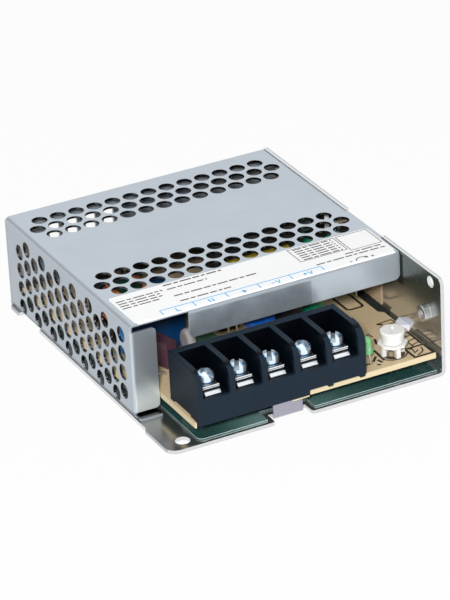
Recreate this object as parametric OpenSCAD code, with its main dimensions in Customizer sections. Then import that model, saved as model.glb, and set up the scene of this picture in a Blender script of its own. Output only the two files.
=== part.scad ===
/* [Case] */
// Overall width across the base and the side wall
case_w = 82; // [82:1:96]
// Overall length from the terminal edge to the rear
case_l = 99; // [99:1:115]
// Height of the side wall
case_h = 28.5; // [28.5:0.5:34]
// Sheet thickness of the chassis
chassis_t = 1; // [0.9:0.1:1.2]
// Outside radius of the chassis bend
chassis_bend_r = 1.7; // [1.5:0.1:2.4]
// Sheet thickness of the cover
cover_t = 0.7; // [0.6:0.1:0.9]
// Inside radius of the cover's bends
cover_fold = 0.2; // [0.1:0.05:0.6]
// Drop of the cover's top below the side wall's upper edge
cover_drop = 0.4; // [0.3:0.1:1.2]
// Ledge of the base outside the cover's left wall
cover_ledge = 0.6; // [0.6:0.1:2]
// Distance of the cover's front from the terminal edge
cover_setback = 21.3; // [20:0.1:23]
// Gap where the cover meets the chassis
sheet_gap = 0.1; // [0.1:0.05:0.3]

/* [Base] */
// Radius of the base's front left corner
base_corner_r = 3; // [1:0.5:4]
// Length of the front ear on the left edge
ear_l = 14.5; // [10:0.5:18]
// Step of the left edge behind the front ear
ear_step = 0.5; // [0.2:0.1:0.6]
// Depth of the cut-back near the rear of the left edge
cutback_d = 2.4; // [1:0.1:3]
// Length of the cut-back
cutback_l = 12.4; // [8:0.2:16]
// Length of the small ear behind the cut-back
rear_ear_l = 6; // [4:0.5:8]
// Corner radius of the small ear
rear_ear_r = 1.3; // [0.5:0.1:2]
// Front mounting hole diameter
mount_hole_d = 4; // [3.2:0.1:4.4]
// Front mounting hole, from the left edge
mount_hole_x = 5.7; // [5:0.1:6.5]
// Front mounting hole, from the terminal edge
mount_hole_y = 4.2; // [3.6:0.1:6]
// Front notch centre, from the left edge
notch_x = 36.3; // [34:0.1:38]
// Front notch width
notch_w = 11; // [10.4:0.1:12]
// Front notch depth
notch_d = 4.3; // [4.1:0.1:5]
// Radius of the notch's outer corners
notch_r = 0.8; // [0.3:0.1:1.5]
// Width of the board tab folded up in the notch
tab_w = 8.8; // [6:0.1:9]
// Distance of the tab's face from the terminal edge
tab_setback = 3.3; // [3:0.1:3.6]
// Core diameter of the M3 threads in the sheet
thread_core_d = 2.5; // [2.4:0.05:2.6]
// Outside diameter of the formed thread bosses
boss_d = 4.6; // [4:0.1:5]
// Height of the formed thread bosses above the sheet
boss_h = 1.6; // [1:0.1:2]
// Base thread spacing across the width
base_thread_dx = 40; // [36:1:42]
// Base thread spacing along the length
base_thread_dy = 60; // [54:1:62]
// Front base threads, from the terminal edge
base_thread_y = 19.5; // [19:0.5:21]

/* [Side wall] */
// Radius of the front upper corner
wall_corner_r = 2; // [1:0.1:3]
// Chamfer of the rear upper corner
wall_rear_chamfer = 1; // [0.4:0.1:2]
// Length of the upper notch that seats the cover's tab
seat_l = 20; // [14:0.5:24]
// Front end of the upper notch, from the terminal edge
seat_front = 31.2; // [28:0.2:34]
// Reach of the cover's tab into the notch, short of the wall's outer face
seat_inset = 0.5; // [0.3:0.1:0.9]
// Upper hole diameter
wall_hole_d = 3.3; // [2.8:0.1:3.4]
// Upper hole, from the terminal edge
wall_hole_y = 5.3; // [5:0.1:7]
// Upper hole, below the upper edge
wall_hole_drop = 2.7; // [2.6:0.1:4]
// Side thread height above the base's underside
side_thread_z = 16; // [14:0.5:18]
// Front side thread, from the terminal edge
side_thread_y = 7.3; // [6.5:0.1:9]
// Spacing of the two side threads
side_thread_dy = 75; // [74:0.5:76]
// Height of the side thread bosses above the sheet
side_boss_h = 2; // [1.5:0.1:2.2]
// Board lance length
lance_l = 5.8; // [5:0.2:7]
// Board lance front end, from the terminal edge
lance_front = 16.8; // [15:0.2:18]
// Taper of the board lance at each end
lance_taper = 1.5; // [1:0.1:2]
// Board lance reach over the board
lance_reach = 2; // [1.8:0.1:2.4]
// Gap between the lance and the board
lance_gap = 0.2; // [0.1:0.05:0.3]

/* [Cover] */
// Left end of the front lip, from the cover's left face
lip_inset = 17.2; // [14:0.2:18]
// Depth of the front lip
lip_h = 8.2; // [5:0.1:8.4]
// Radius of the front lip's lower corners
lip_r = 1.6; // [0.5:0.1:2]
// Width of the left front flap
flap_w = 7.4; // [5:0.1:7.8]
// Upper end of the flap, below the cover's top
flap_drop = 2.2; // [1.4:0.1:2.6]
// Lower end of the flap, above the foot flange
flap_rise = 0.75; // [0.4:0.05:1.2]
// Radius of the flap's corners
flap_r = 1.2; // [0.5:0.1:2]
// Width of the foot flange
foot_w = 6.8; // [5:0.1:7]
// Reach of the foot flange in front of the flap
foot_reach = 2.4; // [1:0.1:3]
// Vent hole diameter
vent_d = 4.45; // [3.6:0.05:4.5]
// Vent hole pitch along a row
vent_pitch = 5.56; // [5.4:0.02:5.6]
// Vent row spacing
vent_row = 4.87; // [4.7:0.01:4.9]
// Plain margin at the ends of the vent rows
vent_margin = 5.2; // [4:0.1:8]
// First row of the rear top band, from the rear face
rear_band_y = 7.7; // [6:0.1:9]
// First row of the front top band, behind the cover's front
front_band_y = 20.2; // [19.8:0.1:24]
// First vent column of the left wall, from the rear face
side_vent_y = 8.5; // [7:0.1:10]
// Lowest vent hole of the left wall, above the floor
side_vent_z = 2.8; // [2.6:0.1:3.2]
// Plain margin at the front of the left wall's vents
side_vent_margin = 4.9; // [4.6:0.1:8]
// Slots in the rear wall
rear_slots = 4; // [2:1:6]
// Width of the rear slots
rear_slot_w = 3; // [2:0.1:3.4]
// Height of the rear slots
rear_slot_h = 9.5; // [6:0.5:10]
// Lower end of the rear slots, above the floor
rear_slot_z = 12.5; // [8:0.5:13]
// First rear slot, from the cover's left face
rear_slot_x = 14.3; // [8:0.1:20]
// Radius of the rear slots' corners
rear_slot_r = 0.6; // [0.2:0.1:1]
// Cover screw places, from the terminal edge
cover_screw_y = 31; // [28:0.5:34]
// Spacing of the cover screws
cover_screw_dy = 36; // [30:1:38]
// Cover screw head diameter
cover_head_d = 5.2; // [4.6:0.1:5.4]
// Cover screw head height
cover_head_h = 0.9; // [0.7:0.05:0.95]
// Cover screw length
cover_screw_l = 4; // [3:0.1:4.4]
// Label thickness
label_t = 0.12; // [0.08:0.01:0.2]
// Label right edge, from the cover's right edge
label_right = 0.6; // [0.1:0.1:2]
// Label depth
label_d = 16.1; // [12:0.1:16.8]
// Label front edge, behind the cover's front bend
label_front = 0; // [0:0.1:1]
// Label left edge, from the cover's left face
label_left = 1.9; // [1.2:0.1:2.2]
// Radius of the label's corners
label_r = 1.2; // [0.4:0.1:2]

/* [Board] */
// Board thickness
board_t = 1.6; // [1.2:0.1:1.6]
// Space between the base sheet and the board
board_gap = 4; // [3.6:0.1:4.4]
// Board left edge, from the base's left edge
board_inset_left = 9.4; // [9:0.1:10]
// Rim of the board left of the terminal block and the components
board_rim = 1.1; // [0.9:0.1:1.2]
// Board right edge, from the side wall
board_inset_right = 0.9; // [0.6:0.1:1]
// Board front edge, from the terminal edge
board_inset_front = 1.6; // [1.2:0.1:2]
// Board rear edge, from the rear face
board_inset_rear = 2.6; // [2:0.1:3]
// Set-back of the board's front edge under the terminal block
board_step_d = 1.6; // [0.8:0.1:2]
// Where that set-back ends, from the board's left edge
board_step_x = 32.1; // [30:0.1:33]
// Depth of the slot between board and side wall
wall_slot_d = 1.3; // [0.8:0.1:1.4]
// Front end of that slot, from the board's front edge
wall_slot_front = 27.6; // [26:0.1:29]
// Clearance around leads and posts
fit_clear = 0.1; // [0.05:0.01:0.15]
// Insulation film thickness
film_t = 0.4; // [0.2:0.05:0.5]
// Film front edge, from the terminal edge
film_front = 1.6; // [1.2:0.1:2]
// Film edge inside the board's left edge
film_inset = 0.9; // [0.5:0.1:1.5]
// Film cut-out past the notch on each side
film_cut = 1.5; // [1:0.1:2.5]
// Film cut-out depth
film_cut_d = 6.5; // [6:0.1:7]
// Radius of the film's front left corner
film_r = 1.5; // [0.5:0.1:2]
// Standoff diameter
standoff_d = 5.5; // [5:0.1:6]
// Standoff shank diameter in the base
standoff_shank_d = 4.2; // [3.8:0.1:4.4]
// Standoffs, from the board's side edges
standoff_x = 4.6; // [4.4:0.1:5]
// Standoffs, from the board's rear edge
standoff_y = 4.4; // [4:0.1:5]
// Support post diameter
support_d = 5; // [4:0.1:6]
// Front support posts, from the board's front edge
support_y = 14; // [13.5:0.1:14.5]
// Screw head diameter
head_d = 5.7; // [5:0.1:5.8]
// Screw head height
head_h = 2; // [1.6:0.1:2.2]

/* [Terminal block] */
// Room kept beside the block for the pilot light and the adjuster
controls_w = 22.6; // [22.4:0.1:22.9]
// Pole pitch
pole_pitch = 9.5; // [8.8:0.1:9.6]
// Partition thickness
partition_t = 1.5; // [1.2:0.1:1.6]
// Block depth
block_d = 16.4; // [16:0.1:17]
// Block height above the board
block_h = 14.3; // [13.6:0.1:15]
// Block front, from the terminal edge
block_setback = 0.3; // [0.2:0.1:0.6]
// Overhang of the block past the board's left edge
block_overhang = 0.5; // [0:0.1:0.8]
// Height of the bay floor above the board
bay_floor = 6.3; // [6:0.1:6.5]
// Rear wall thickness of the block
block_rear_t = 2.2; // [1.6:0.1:2.4]
// Radius of the partitions' front upper corner
partition_r = 4.6; // [3:0.1:5]
// Height of the block's feet
foot_h = 0.6; // [0.4:0.05:0.8]
// Length of the block's feet
foot_l = 2; // [1.5:0.1:3]
// Reach of the block's front skirt below the board's upper face
skirt_h = 0.8; // [0.4:0.1:1.2]
// Width of the raised edge on the end walls
end_pad_t = 0.35; // [0.2:0.05:0.5]
// Length of the raised edge
end_pad_l = 6.6; // [5:0.1:7]
// Contact plate width
contact_w = 4.6; // [4:0.1:5]
// Contact plate thickness
contact_t = 0.8; // [0.6:0.05:1]
// Contact plate front, behind the block's front
contact_front = 2; // [1.6:0.1:2.4]
// Contact plate length
contact_l = 10; // [9.6:0.1:10.4]
// Contact leg width
contact_leg_w = 2.6; // [2:0.1:3]
// Clamp washer width
clamp_w = 5.2; // [4.8:0.1:5.6]
// Clamp washer depth
clamp_d = 6.6; // [6:0.1:7]
// Clamp washer thickness
clamp_t = 0.8; // [0.6:0.05:1]
// Lock washer thickness
lock_t = 0.6; // [0.5:0.05:0.8]
// Lock washer diameter
lock_d = 4.8; // [4.4:0.1:5]
// Terminal screw axis, behind the block's front
screw_y = 6.9; // [6.6:0.1:7.2]
// Terminal screw thread diameter
screw_d = 3; // [2.8:0.1:3.2]
// Terminal screw head height
screw_head_h = 2.9; // [2.4:0.1:3.2]
// Terminal screw reach below the contact plate
screw_reach = 3; // [2:0.1:4]
// Width of the screw's slot
slot_w = 1.05; // [0.8:0.05:1.2]
// Depth of the screw's slot
slot_d = 1.3; // [1:0.05:1.5]

/* [Front controls] */
// Pilot light axis, right of the terminal block
led_dx = 3.9; // [3.6:0.1:5]
// Pilot light axis, behind the board's front edge
led_y = 4.6; // [4:0.1:6]
// Pilot light lens diameter
led_d = 2.9; // [2.7:0.1:3.1]
// Pilot light lens diameter at its top
led_top_d = 2.4; // [2.2:0.1:2.6]
// Pilot light height without its leads
led_h = 4.6; // [4:0.1:5.5]
// Pilot light rim diameter
led_rim_d = 3.3; // [3.2:0.1:4]
// Pilot light lift above the board
led_lift = 3.3; // [2:0.1:3.6]
// Pilot light lead spacing
led_lead_dy = 2.54; // [2:0.02:2.6]
// Pilot light lead thickness
led_lead_t = 0.5; // [0.4:0.05:0.6]
// Adjuster axis, right of the pilot light
trim_dx = 8.4; // [8:0.1:9]
// Adjuster axis, behind the board's front edge
trim_y = 5.7; // [5.2:0.1:7]
// Adjuster knob diameter at its top
knob_d = 6.8; // [6.4:0.1:7.4]
// Adjuster knob diameter at its bottom
knob_base_d = 6; // [5.6:0.1:6.4]
// Adjuster knob height
knob_h = 3.5; // [3:0.1:4]
// Adjuster plate width across flats
plate_w = 7.5; // [7.2:0.1:8]
// Adjuster plate thickness
plate_t = 0.6; // [0.5:0.05:0.8]
// Height of the adjuster plate above the board
plate_lift = 3; // [2.6:0.1:3.6]
// Adjuster pivot diameter
pivot_d = 2; // [1.8:0.1:2.2]
// Radial running clearance of the pivot
pivot_clear = 0.05; // [0.02:0.01:0.09]
// Gap between knob and plate
knob_gap = 0.15; // [0.1:0.05:0.25]
// Adjuster terminal width
trim_leg_w = 1.6; // [1.2:0.1:2]
// Adjuster terminal thickness
trim_leg_t = 0.4; // [0.3:0.05:0.4]
// Adjuster terminals, from the pivot's axis
trim_leg_r = 1.85; // [1.8:0.05:1.9]
// Width of the adjuster's posts
post_w = 1.2; // [1:0.1:1.2]
// Adjuster posts, from the pivot's axis
post_r = 2.75; // [2.75:0.05:3]
// Turn of the adjuster's posts
post_turn = 0; // [0:1:20]

/* [Components] */
// Wire lead diameter
lead_d = 0.7; // [0.6:0.05:0.8]
// Wire lead length below the board
lead_stub = 1.6; // [1:0.1:1.8]
// Fuse size, width, length and height
fuse = [3.8, 8.5, 7.1]; // [3:0.1:9]
// Fuse turn about the upright axis
fuse_turn = 14; // [0:1:16]
// Line capacitor size
x_cap = [17, 7.8, 14.5]; // [7:0.1:18]
// Ceramic capacitor diameter
ceramic_d = 6.5; // [5:0.1:7]
// Ceramic capacitor thickness
ceramic_t = 2.6; // [2:0.1:2.8]
// Film capacitor size
film_cap = [5.4, 8, 5.2]; // [4:0.1:9]
// Varistor diameter
varistor_d = 9.2; // [8:0.1:9.2]
// Varistor thickness
varistor_t = 4.4; // [4:0.1:5]
// Varistor lean from upright
varistor_lean = 50; // [30:1:60]
// Auxiliary capacitor diameter
aux_cap_d = 8; // [6:0.1:8]
// Auxiliary capacitor height
aux_cap_h = 12; // [9:0.5:14]
// Output capacitor diameter
out_cap_d = 7.6; // [6:0.1:8]
// Output capacitor height
out_cap_h = 16; // [11:0.5:18]
// Bulk capacitor diameter
bulk_d = 16; // [14:0.5:16]
// Bulk capacitor length
bulk_l = 30; // [25:0.5:30]
// Choke outside diameter over its windings
choke_d = 15.5; // [14:0.1:15.6]
// Choke depth over its windings
choke_w = 8; // [7:0.1:8.4]
// Choke winding build
choke_wire = 1.8; // [1.4:0.1:2]
// Arc of each choke winding
choke_sweep = 116; // [100:2:140]
// Choke window diameter inside the windings
choke_bore = 3.4; // [3:0.1:4]
// Choke base thickness
choke_base_t = 1; // [0.8:0.1:1.4]
// Height of the choke base's cradle
cradle_h = 2.4; // [1.6:0.1:3]
// Choke base, narrower than the choke
cradle_inset = 1.5; // [1:0.1:3]
// Rectifier bridge size
bridge = [14.5, 3.6, 10.5]; // [3:0.1:15]
// Thermistor diameter
thermistor_d = 8; // [6:0.1:9]
// Thermistor thickness
thermistor_t = 4; // [3:0.1:4.5]
// Capacitor disc diameter across the barrier
y_cap_d = 7; // [6:0.1:8]
// Capacitor disc thickness across the barrier
y_cap_t = 4; // [3:0.1:4.5]
// Transformer core width
core_w = 25; // [23:0.1:25]
// Transformer core thickness
core_t = 8; // [7:0.1:9]
// Space between the transformer core and the cover
core_headroom = 2.3; // [1.6:0.1:3]
// Transformer yoke and centre leg width
core_leg = 6.6; // [6:0.1:7]
// Transformer outer leg and yoke thickness
core_yoke = 3.3; // [3:0.1:3.6]
// Winding build round the centre leg
winding_build = 4.4; // [4:0.1:4.6]
// Bobbin wall thickness
bobbin_t = 0.8; // [0.6:0.05:0.9]
// Reach of the bobbin's upper flange past the core
cap_reach = 1.6; // [1.2:0.1:3]
// Lift of the core above the board
core_lift = 1.2; // [1:0.1:1.6]
// Power package size, width, thickness and height
package = [10, 4.6, 15.6]; // [4:0.1:16]
// Space between the packages and the cover
package_headroom = 1.2; // [1:0.1:1.6]
// Wall insulator thickness
insulator_t = 0.3; // [0.2:0.05:0.4]
// Wall insulator front end, from the terminal edge
insulator_front = 31.8; // [30:0.1:33]
// Wall insulator rear end, from the rear face
insulator_rear = 8; // [6:0.5:10]
// Wall insulator lower edge above the board
insulator_z = 1; // [0.6:0.1:1.4]
// Space between the wall insulator and the cover
insulator_headroom = 2.1; // [1.5:0.1:3]
// Spring clip thickness
clip_t = 0.8; // [0.6:0.05:0.9]
// Spring clip width
clip_w = 7; // [6.6:0.1:8]
// Spring clip foot length
clip_foot = 7; // [6.6:0.1:8]
// Output inductor diameter
inductor_d = 7.6; // [6:0.1:7.6]
// Output inductor height
inductor_h = 10; // [8:0.1:12]
// Output inductor flange thickness
inductor_flange = 1.6; // [1.2:0.1:2]
// Output inductor waist diameter
inductor_waist = 4; // [3.4:0.1:4.6]
// Four-pin package size
opto = [6.4, 4.6, 3.4]; // [3:0.1:7]
// Eight-pin package size
chip = [9.4, 6.4, 3.4]; // [3:0.1:10]
// Small package lift above the board
chip_lift = 0.5; // [0.3:0.1:0.8]
// Power resistor diameter
resistor_d = 3.4; // [2.6:0.1:3.6]
// Power resistor length
resistor_l = 9; // [8:0.1:10]

// Lift of the box-shaped components above the board
box_lift = 0.2; // [0.1:0.05:0.4]
// Lift of the varistor above the board
varistor_lift = 0.4; // [0.2:0.1:0.8]
// Lift of the rectifier bridge above the board
bridge_lift = 0.8; // [0.5:0.1:1.2]
// Lift of the upright discs above the board
disc_lift = 1.5; // [1:0.1:2]
// Lift of the power resistors above the board
resistor_lift = 0.3; // [0.2:0.1:0.6]

/* [Lead spacings] */
// Fuse leads
fuse_leads = 5; // [4:0.1:6]
// Line capacitor leads
x_cap_leads = 15; // [14:0.1:15.5]
// Film capacitor leads
film_cap_leads = 5; // [4:0.1:6]
// Leads of the upright discs
disc_leads = 5; // [4:0.1:5.4]
// Varistor leads
varistor_leads = 7; // [6:0.1:7.5]
// Leads of the upright cans
can_leads = 3.5; // [2.5:0.1:4]
// Choke leads, across and along
choke_leads = [10, 5]; // [4:0.1:11]
// Rectifier bridge leads
bridge_leads = 3.8; // [3.6:0.1:4]
// Transformer pins
rail_pins = 5; // [4.6:0.1:5.2]
// Output inductor leads
inductor_leads = 4; // [3:0.1:5]
// Small package pins
pin_pitch = 2.54; // [2.5:0.01:2.54]
// Bulk capacitor leads
bulk_leads = 7.5; // [7:0.1:10]
// Bulk capacitor leads, in front of its end
bulk_lead_reach = 1.2; // [1:0.1:1.4]
// Power resistor leads, past its ends
resistor_lead_reach = 1.5; // [1.2:0.1:2]
// Power package leads, in front of its face
package_lead_in = 2; // [1.5:0.1:2.5]

/* [Component places] */
// Fuse, from the board's left and front edges
fuse_at = [6.7, 34.2]; // [6:0.1:36]
// Line capacitor, from the board's left and front edges
x_cap_at = [8.6, 43.4]; // [8:0.1:44]
// Ceramic capacitor, from the board's left and front edges
ceramic_at = [14.5, 33.9]; // [14:0.1:35]
// Film capacitor, from the board's left and front edges
film_cap_at = [18.8, 33.7]; // [18:0.1:35]
// Varistor, from the board's left and front edges
varistor_at = [36, 34.4]; // [34:0.1:37]
// Auxiliary capacitor, from the board's left and front edges
aux_cap_at = [44.9, 34.4]; // [34:0.1:46]
// Front output capacitor, from the board's left and front edges
out_cap_at = [53, 36.4]; // [36:0.1:54]
// Rear output capacitor, from the power packages and the board's front edge
out_cap_side = [3.7, 51]; // [3.5:0.1:52]
// Choke, from the board's left and front edges
choke_at = [7.4, 55.4]; // [7:0.1:56]
// Rectifier bridge, from the board's left and front edges
bridge_at = [8.3, 65]; // [8:0.1:66]
// Thermistor, from the board's left and front edges
thermistor_at = [23.4, 48]; // [23:0.1:49]
// Front barrier capacitor, from the board's left and front edges
y_cap_at = [20.6, 58.4]; // [20:0.1:59]
// Spacing of the two barrier capacitors
y_cap_dy = 7; // [6.8:0.1:7.2]
// Transformer, from the power packages and the board's front edge
transformer_side = [20.4, 58.4]; // [20:0.1:59]
// Four-pin package, from the board's left and front edges
opto_at = [30.6, 43.4]; // [30:0.1:44]
// Rear power resistor, from the board's left and front edges
rear_resistor_at = [11.6, 70.2]; // [11:0.1:71]
// Front power resistor, from the board's left and front edges
front_resistor_at = [42.6, 42.9]; // [42:0.1:44]
// Output inductor, from the power packages and the board's front edge
inductor_side = [3.6, 72.4]; // [3.5:0.1:73]
// Eight-pin package, from the board's left and rear edges
chip_at = [12.6, 7.2]; // [7:0.1:14]
// Bulk capacitor, from the board's left and rear edges
bulk_at = [35.6, 9]; // [8:0.1:36]
// Output rectifier, from the board's front edge
rectifier_at = 41.9; // [41:0.1:43]
// Switching transistor, from the board's front edge
switch_at = 61.4; // [61:0.1:62]

/* [Hidden] */
$fn = 48;
left = -case_w / 2;
right = case_w / 2;
front = -case_l / 2;
rear = case_l / 2;
wall_in = right - chassis_t;
floor_z = chassis_t;
cover_left = left + cover_ledge;
cover_right = wall_in - sheet_gap;
cover_front = front + cover_setback;
cover_top = case_h - cover_drop;
cover_under = cover_top - cover_t;
cover_bend_r = cover_t + cover_fold;
seat_y0 = front + seat_front;
seat_y1 = seat_y0 + seat_l;
board_z = floor_z + board_gap;
board_top = board_z + board_t;
board_left = left + board_inset_left;
board_right = wall_in - board_inset_right;
board_front = front + board_inset_front;
board_rear = rear - board_inset_rear;
foot_z = floor_z + cover_t;
cover_screw_x = cover_left + (foot_w + cover_bend_r) / 2;
core_shank_d = thread_core_d - 2 * fit_clear;
block_left = board_left - block_overhang;
pole_count = floor((wall_in - block_left - controls_w - partition_t) / pole_pitch);
block_w = pole_count * pole_pitch + partition_t;
block_right = block_left + block_w;
block_front = front + block_setback;
block_rear = block_front + block_d;
block_top = board_top + block_h;
bay_z = board_top + bay_floor;
contact_top = bay_z + contact_t;
clamp_top = contact_top + clamp_t;
head_z = clamp_top + lock_t;
screw_axis_y = block_front + screw_y;
leg_y = block_front + contact_front + contact_l - contact_t;
led_pos = [block_right + led_dx, board_front + led_y];
trim_pos = [led_pos[0] + trim_dx, board_front + trim_y];
plate_z = board_top + plate_lift;
knob_z = plate_z + plate_t + knob_gap;
slot_turns = [62, 18, 24, 66, 14];
package_x = wall_in - insulator_t - package[1];
package_z = cover_under - package_headroom - package[2];
fuse_pos = board_at(fuse_at);
x_cap_pos = board_at(x_cap_at);
ceramic_pos = board_at(ceramic_at);
film_cap_pos = board_at(film_cap_at);
varistor_pos = board_at(varistor_at);
aux_cap_pos = board_at(aux_cap_at);
out_cap_pos = [board_at(out_cap_at), side_at(out_cap_side)];
choke_pos = board_at(choke_at);
bridge_pos = board_at(bridge_at);
thermistor_pos = board_at(thermistor_at);
y_cap_pos = [for (i = [0, 1]) board_at(y_cap_at + [0, i * y_cap_dy])];
transformer_pos = side_at(transformer_side);
opto_pos = board_at(opto_at);
resistor_pos = [board_at(rear_resistor_at), board_at(front_resistor_at)];
inductor_pos = side_at(inductor_side);
chip_pos = [board_left + chip_at[0], board_rear - chip_at[1]];
bulk_pos = [board_left + bulk_at[0], board_rear - bulk_at[1]];
rectifier_y = board_front + rectifier_at;
switch_y = board_front + switch_at;
package_lead_x = package_x + package_lead_in;
clip_z = package_z + package[2] / 2;
standoff_pos = [
    [board_left + standoff_x, board_rear - standoff_y],
    [board_right - wall_slot_d - standoff_x, board_rear - standoff_y]
];
support_pos = [
    [board_left + standoff_x, board_front + support_y],
    [board_right - standoff_x, board_front + support_y]
];
base_thread_pos = [
    for (s = [-1, 1], j = [0, 1]) [s * base_thread_dx / 2, front + base_thread_y + j * base_thread_dy]
];
cover_screw_pos = [
    for (i = [0, 1]) [cover_screw_x, front + cover_screw_y + i * cover_screw_dy]
];
side_thread_ys = [front + side_thread_y, front + side_thread_y + side_thread_dy];
clip_screw_ys = [for (y = [rectifier_y, switch_y]) y + package[0] / 2 + clip_t + clip_foot / 2];

// Place on the board, from its left and front edges
function board_at(p) = [board_left, board_front] + p;

// Place on the board, from the power packages and the front edge
function side_at(p) = [package_x - p[0], board_front + p[1]];

// Points on an arc about a centre
function arc(c, r, a0, a1, n = 6) =
    [for (i = [0:n]) let (a = a0 + (a1 - a0) * i / n) c + r * [cos(a), sin(a)]];

// Outline of a rectangle with rounded corners
function rounded(x0, y0, x1, y1, r) = concat(
    arc([x0 + r, y0 + r], r, 180, 270),
    arc([x1 - r, y0 + r], r, 270, 360),
    arc([x1 - r, y1 - r], r, 0, 90),
    arc([x0 + r, y1 - r], r, 90, 180)
);

// Section of a quarter bend in a sheet
function bend(c, r, t, a0) = concat(arc(c, r, a0, a0 + 90), arc(c, r - t, a0 + 90, a0));

// Pairs of lead places either side of a centre
function pair(p, d) = [p - d / 2, p + d / 2];

// A row of lead places
function lead_row(p, step, n) = [for (i = [0:n - 1]) p + step * (i - (n - 1) / 2)];

// Each lead is its place on the board and the height where it meets its component
function leads_to(points, z) = [for (p = points) [p[0], p[1], z]];

fuse_axis = [-sin(fuse_turn), cos(fuse_turn)];
disc_z = board_top + disc_lift;
core_z = board_top + core_lift;
core_h = cover_under - core_headroom - core_z;
bulk_z = board_top + bulk_d / 2;
bulk_end = bulk_pos[0] - bulk_l / 2;
bulk_lead_x = bulk_end - bulk_lead_reach;
resistor_z = board_top + resistor_d / 2 + resistor_lift;
rail_w = 2.4;
rail_y = core_t / 2 + winding_build + bobbin_t - rail_w / 2;
run_d = lead_d - fit_clear;
pin_row_dy = 3 * pin_pitch;
shoulder_z = board_top + 2;
resistor_lead_dx = resistor_l + 2 * resistor_lead_reach;

LEADS = concat(
    leads_to(pair(fuse_pos, fuse_leads * fuse_axis), board_top + box_lift),
    leads_to(pair(x_cap_pos, [x_cap_leads, 0]), board_top + box_lift),
    leads_to(pair(ceramic_pos, [0, disc_leads]), disc_z + ceramic_d * 0.1),
    leads_to(pair(film_cap_pos, [0, film_cap_leads]), board_top + box_lift),
    leads_to(pair(varistor_pos + [0, 2], [varistor_leads, 0]), board_top + varistor_lift),
    leads_to(pair(aux_cap_pos, [can_leads, 0]), board_top),
    leads_to(pair(out_cap_pos[0], [can_leads, 0]), board_top),
    leads_to(pair(out_cap_pos[1], [can_leads, 0]), board_top),
    leads_to(pair(choke_pos, choke_leads), board_top),
    leads_to(pair(choke_pos, [choke_leads[0], -choke_leads[1]]), board_top),
    leads_to(lead_row(bridge_pos, [bridge_leads, 0], 4), board_top + bridge_lift),
    leads_to(pair(thermistor_pos, [0, disc_leads]), disc_z + thermistor_d * 0.1),
    leads_to(pair(y_cap_pos[0], [disc_leads, 0]), disc_z + y_cap_d * 0.1),
    leads_to(pair(y_cap_pos[1], [disc_leads, 0]), disc_z + y_cap_d * 0.1),
    leads_to(lead_row(transformer_pos - [0, rail_y], [rail_pins, 0], 4), core_z),
    leads_to(lead_row(transformer_pos + [0, rail_y], [rail_pins, 0], 4), core_z),
    leads_to(lead_row([package_lead_x, rectifier_y], [0, pin_pitch], 3), package_z),
    leads_to(lead_row([package_lead_x, switch_y], [0, pin_pitch], 3), package_z),
    leads_to(pair(inductor_pos, [inductor_leads, 0]), board_top),
    leads_to(lead_row(opto_pos - [0, pin_row_dy / 2], [pin_pitch, 0], 2), shoulder_z),
    leads_to(lead_row(opto_pos + [0, pin_row_dy / 2], [pin_pitch, 0], 2), shoulder_z),
    leads_to(lead_row(chip_pos - [0, pin_row_dy / 2], [pin_pitch, 0], 4), shoulder_z),
    leads_to(lead_row(chip_pos + [0, pin_row_dy / 2], [pin_pitch, 0], 4), shoulder_z),
    leads_to(pair([bulk_lead_x, bulk_pos[1]], [0, bulk_leads]), bulk_z + lead_d / 2),
    leads_to(pair(resistor_pos[0], [resistor_lead_dx, 0]), resistor_z + lead_d / 2),
    leads_to(pair(resistor_pos[1], [resistor_lead_dx, 0]), resistor_z + lead_d / 2)
);

// Sheet lying flat, from an outline in X and Y
module flat_sheet(z, t) {
    translate([0, 0, z]) linear_extrude(t) children();
}

// Sheet facing sideways, from an outline in Y and Z
module side_sheet(x, t) {
    translate([x, 0, 0]) rotate([90, 0, 90]) linear_extrude(t) children();
}

// Sheet facing front, from an outline in X and Z
module front_sheet(y, t) {
    translate([0, y + t, 0]) rotate([90, 0, 0]) linear_extrude(t) children();
}

// Round bar along Y
module bar_y(x, y0, y1, z, d) {
    translate([x, y0, z]) rotate([-90, 0, 0]) cylinder(d = d, h = y1 - y0);
}

// Round bar along X
module bar_x(x0, x1, y, z, d) {
    translate([x0, y, z]) rotate([0, 90, 0]) cylinder(d = d, h = x1 - x0);
}

// Box from its lowest corner to its highest
module block(a, b) {
    translate(a) cube(b - a);
}

// Upright box that stands at a place on the board
module standing_box(p, size, z) {
    translate([p[0] - size[0] / 2, p[1] - size[1] / 2, z]) cube(size);
}

// Coated disc with rounded rims, its axis along Z
module coated_disc(d, t) {
    r = t * 0.42;
    rotate_extrude()
        polygon(concat(
            [[0, -t / 2]],
            arc([d / 2 - r, r - t / 2], r, 270, 360, 4),
            arc([d / 2 - r, t / 2 - r], r, 0, 90, 4),
            [[0, t / 2]]
        ));
}

// Can with a groove near its base and a rounded shoulder, its axis along Z
module sleeved_can(d, h) {
    shoulder = 0.5;
    groove = 0.25;
    groove_z = 2;
    rotate_extrude()
        polygon(concat(
            [[0, 0]],
            arc([d / 2 - shoulder, shoulder], shoulder, 270, 360, 3),
            [[d / 2, groove_z - groove], [d / 2 - groove, groove_z], [d / 2, groove_z + groove]],
            arc([d / 2 - shoulder, h - shoulder], shoulder, 0, 90, 3),
            [[0, h]]
        ));
}

// Pan head screw with its head's underside at the origin and its shank down
module pan_screw(head, height, shank, length) {
    rim = height * 0.36;
    dome = [for (a = [0:15:90]) [head / 2 * cos(a), rim + (height - rim) * sin(a)]];
    rotate_extrude()
        polygon(concat(
            [[0, -length], [shank / 2, -length], [shank / 2, 0], [head / 2, 0]],
            dome
        ));
}

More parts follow.
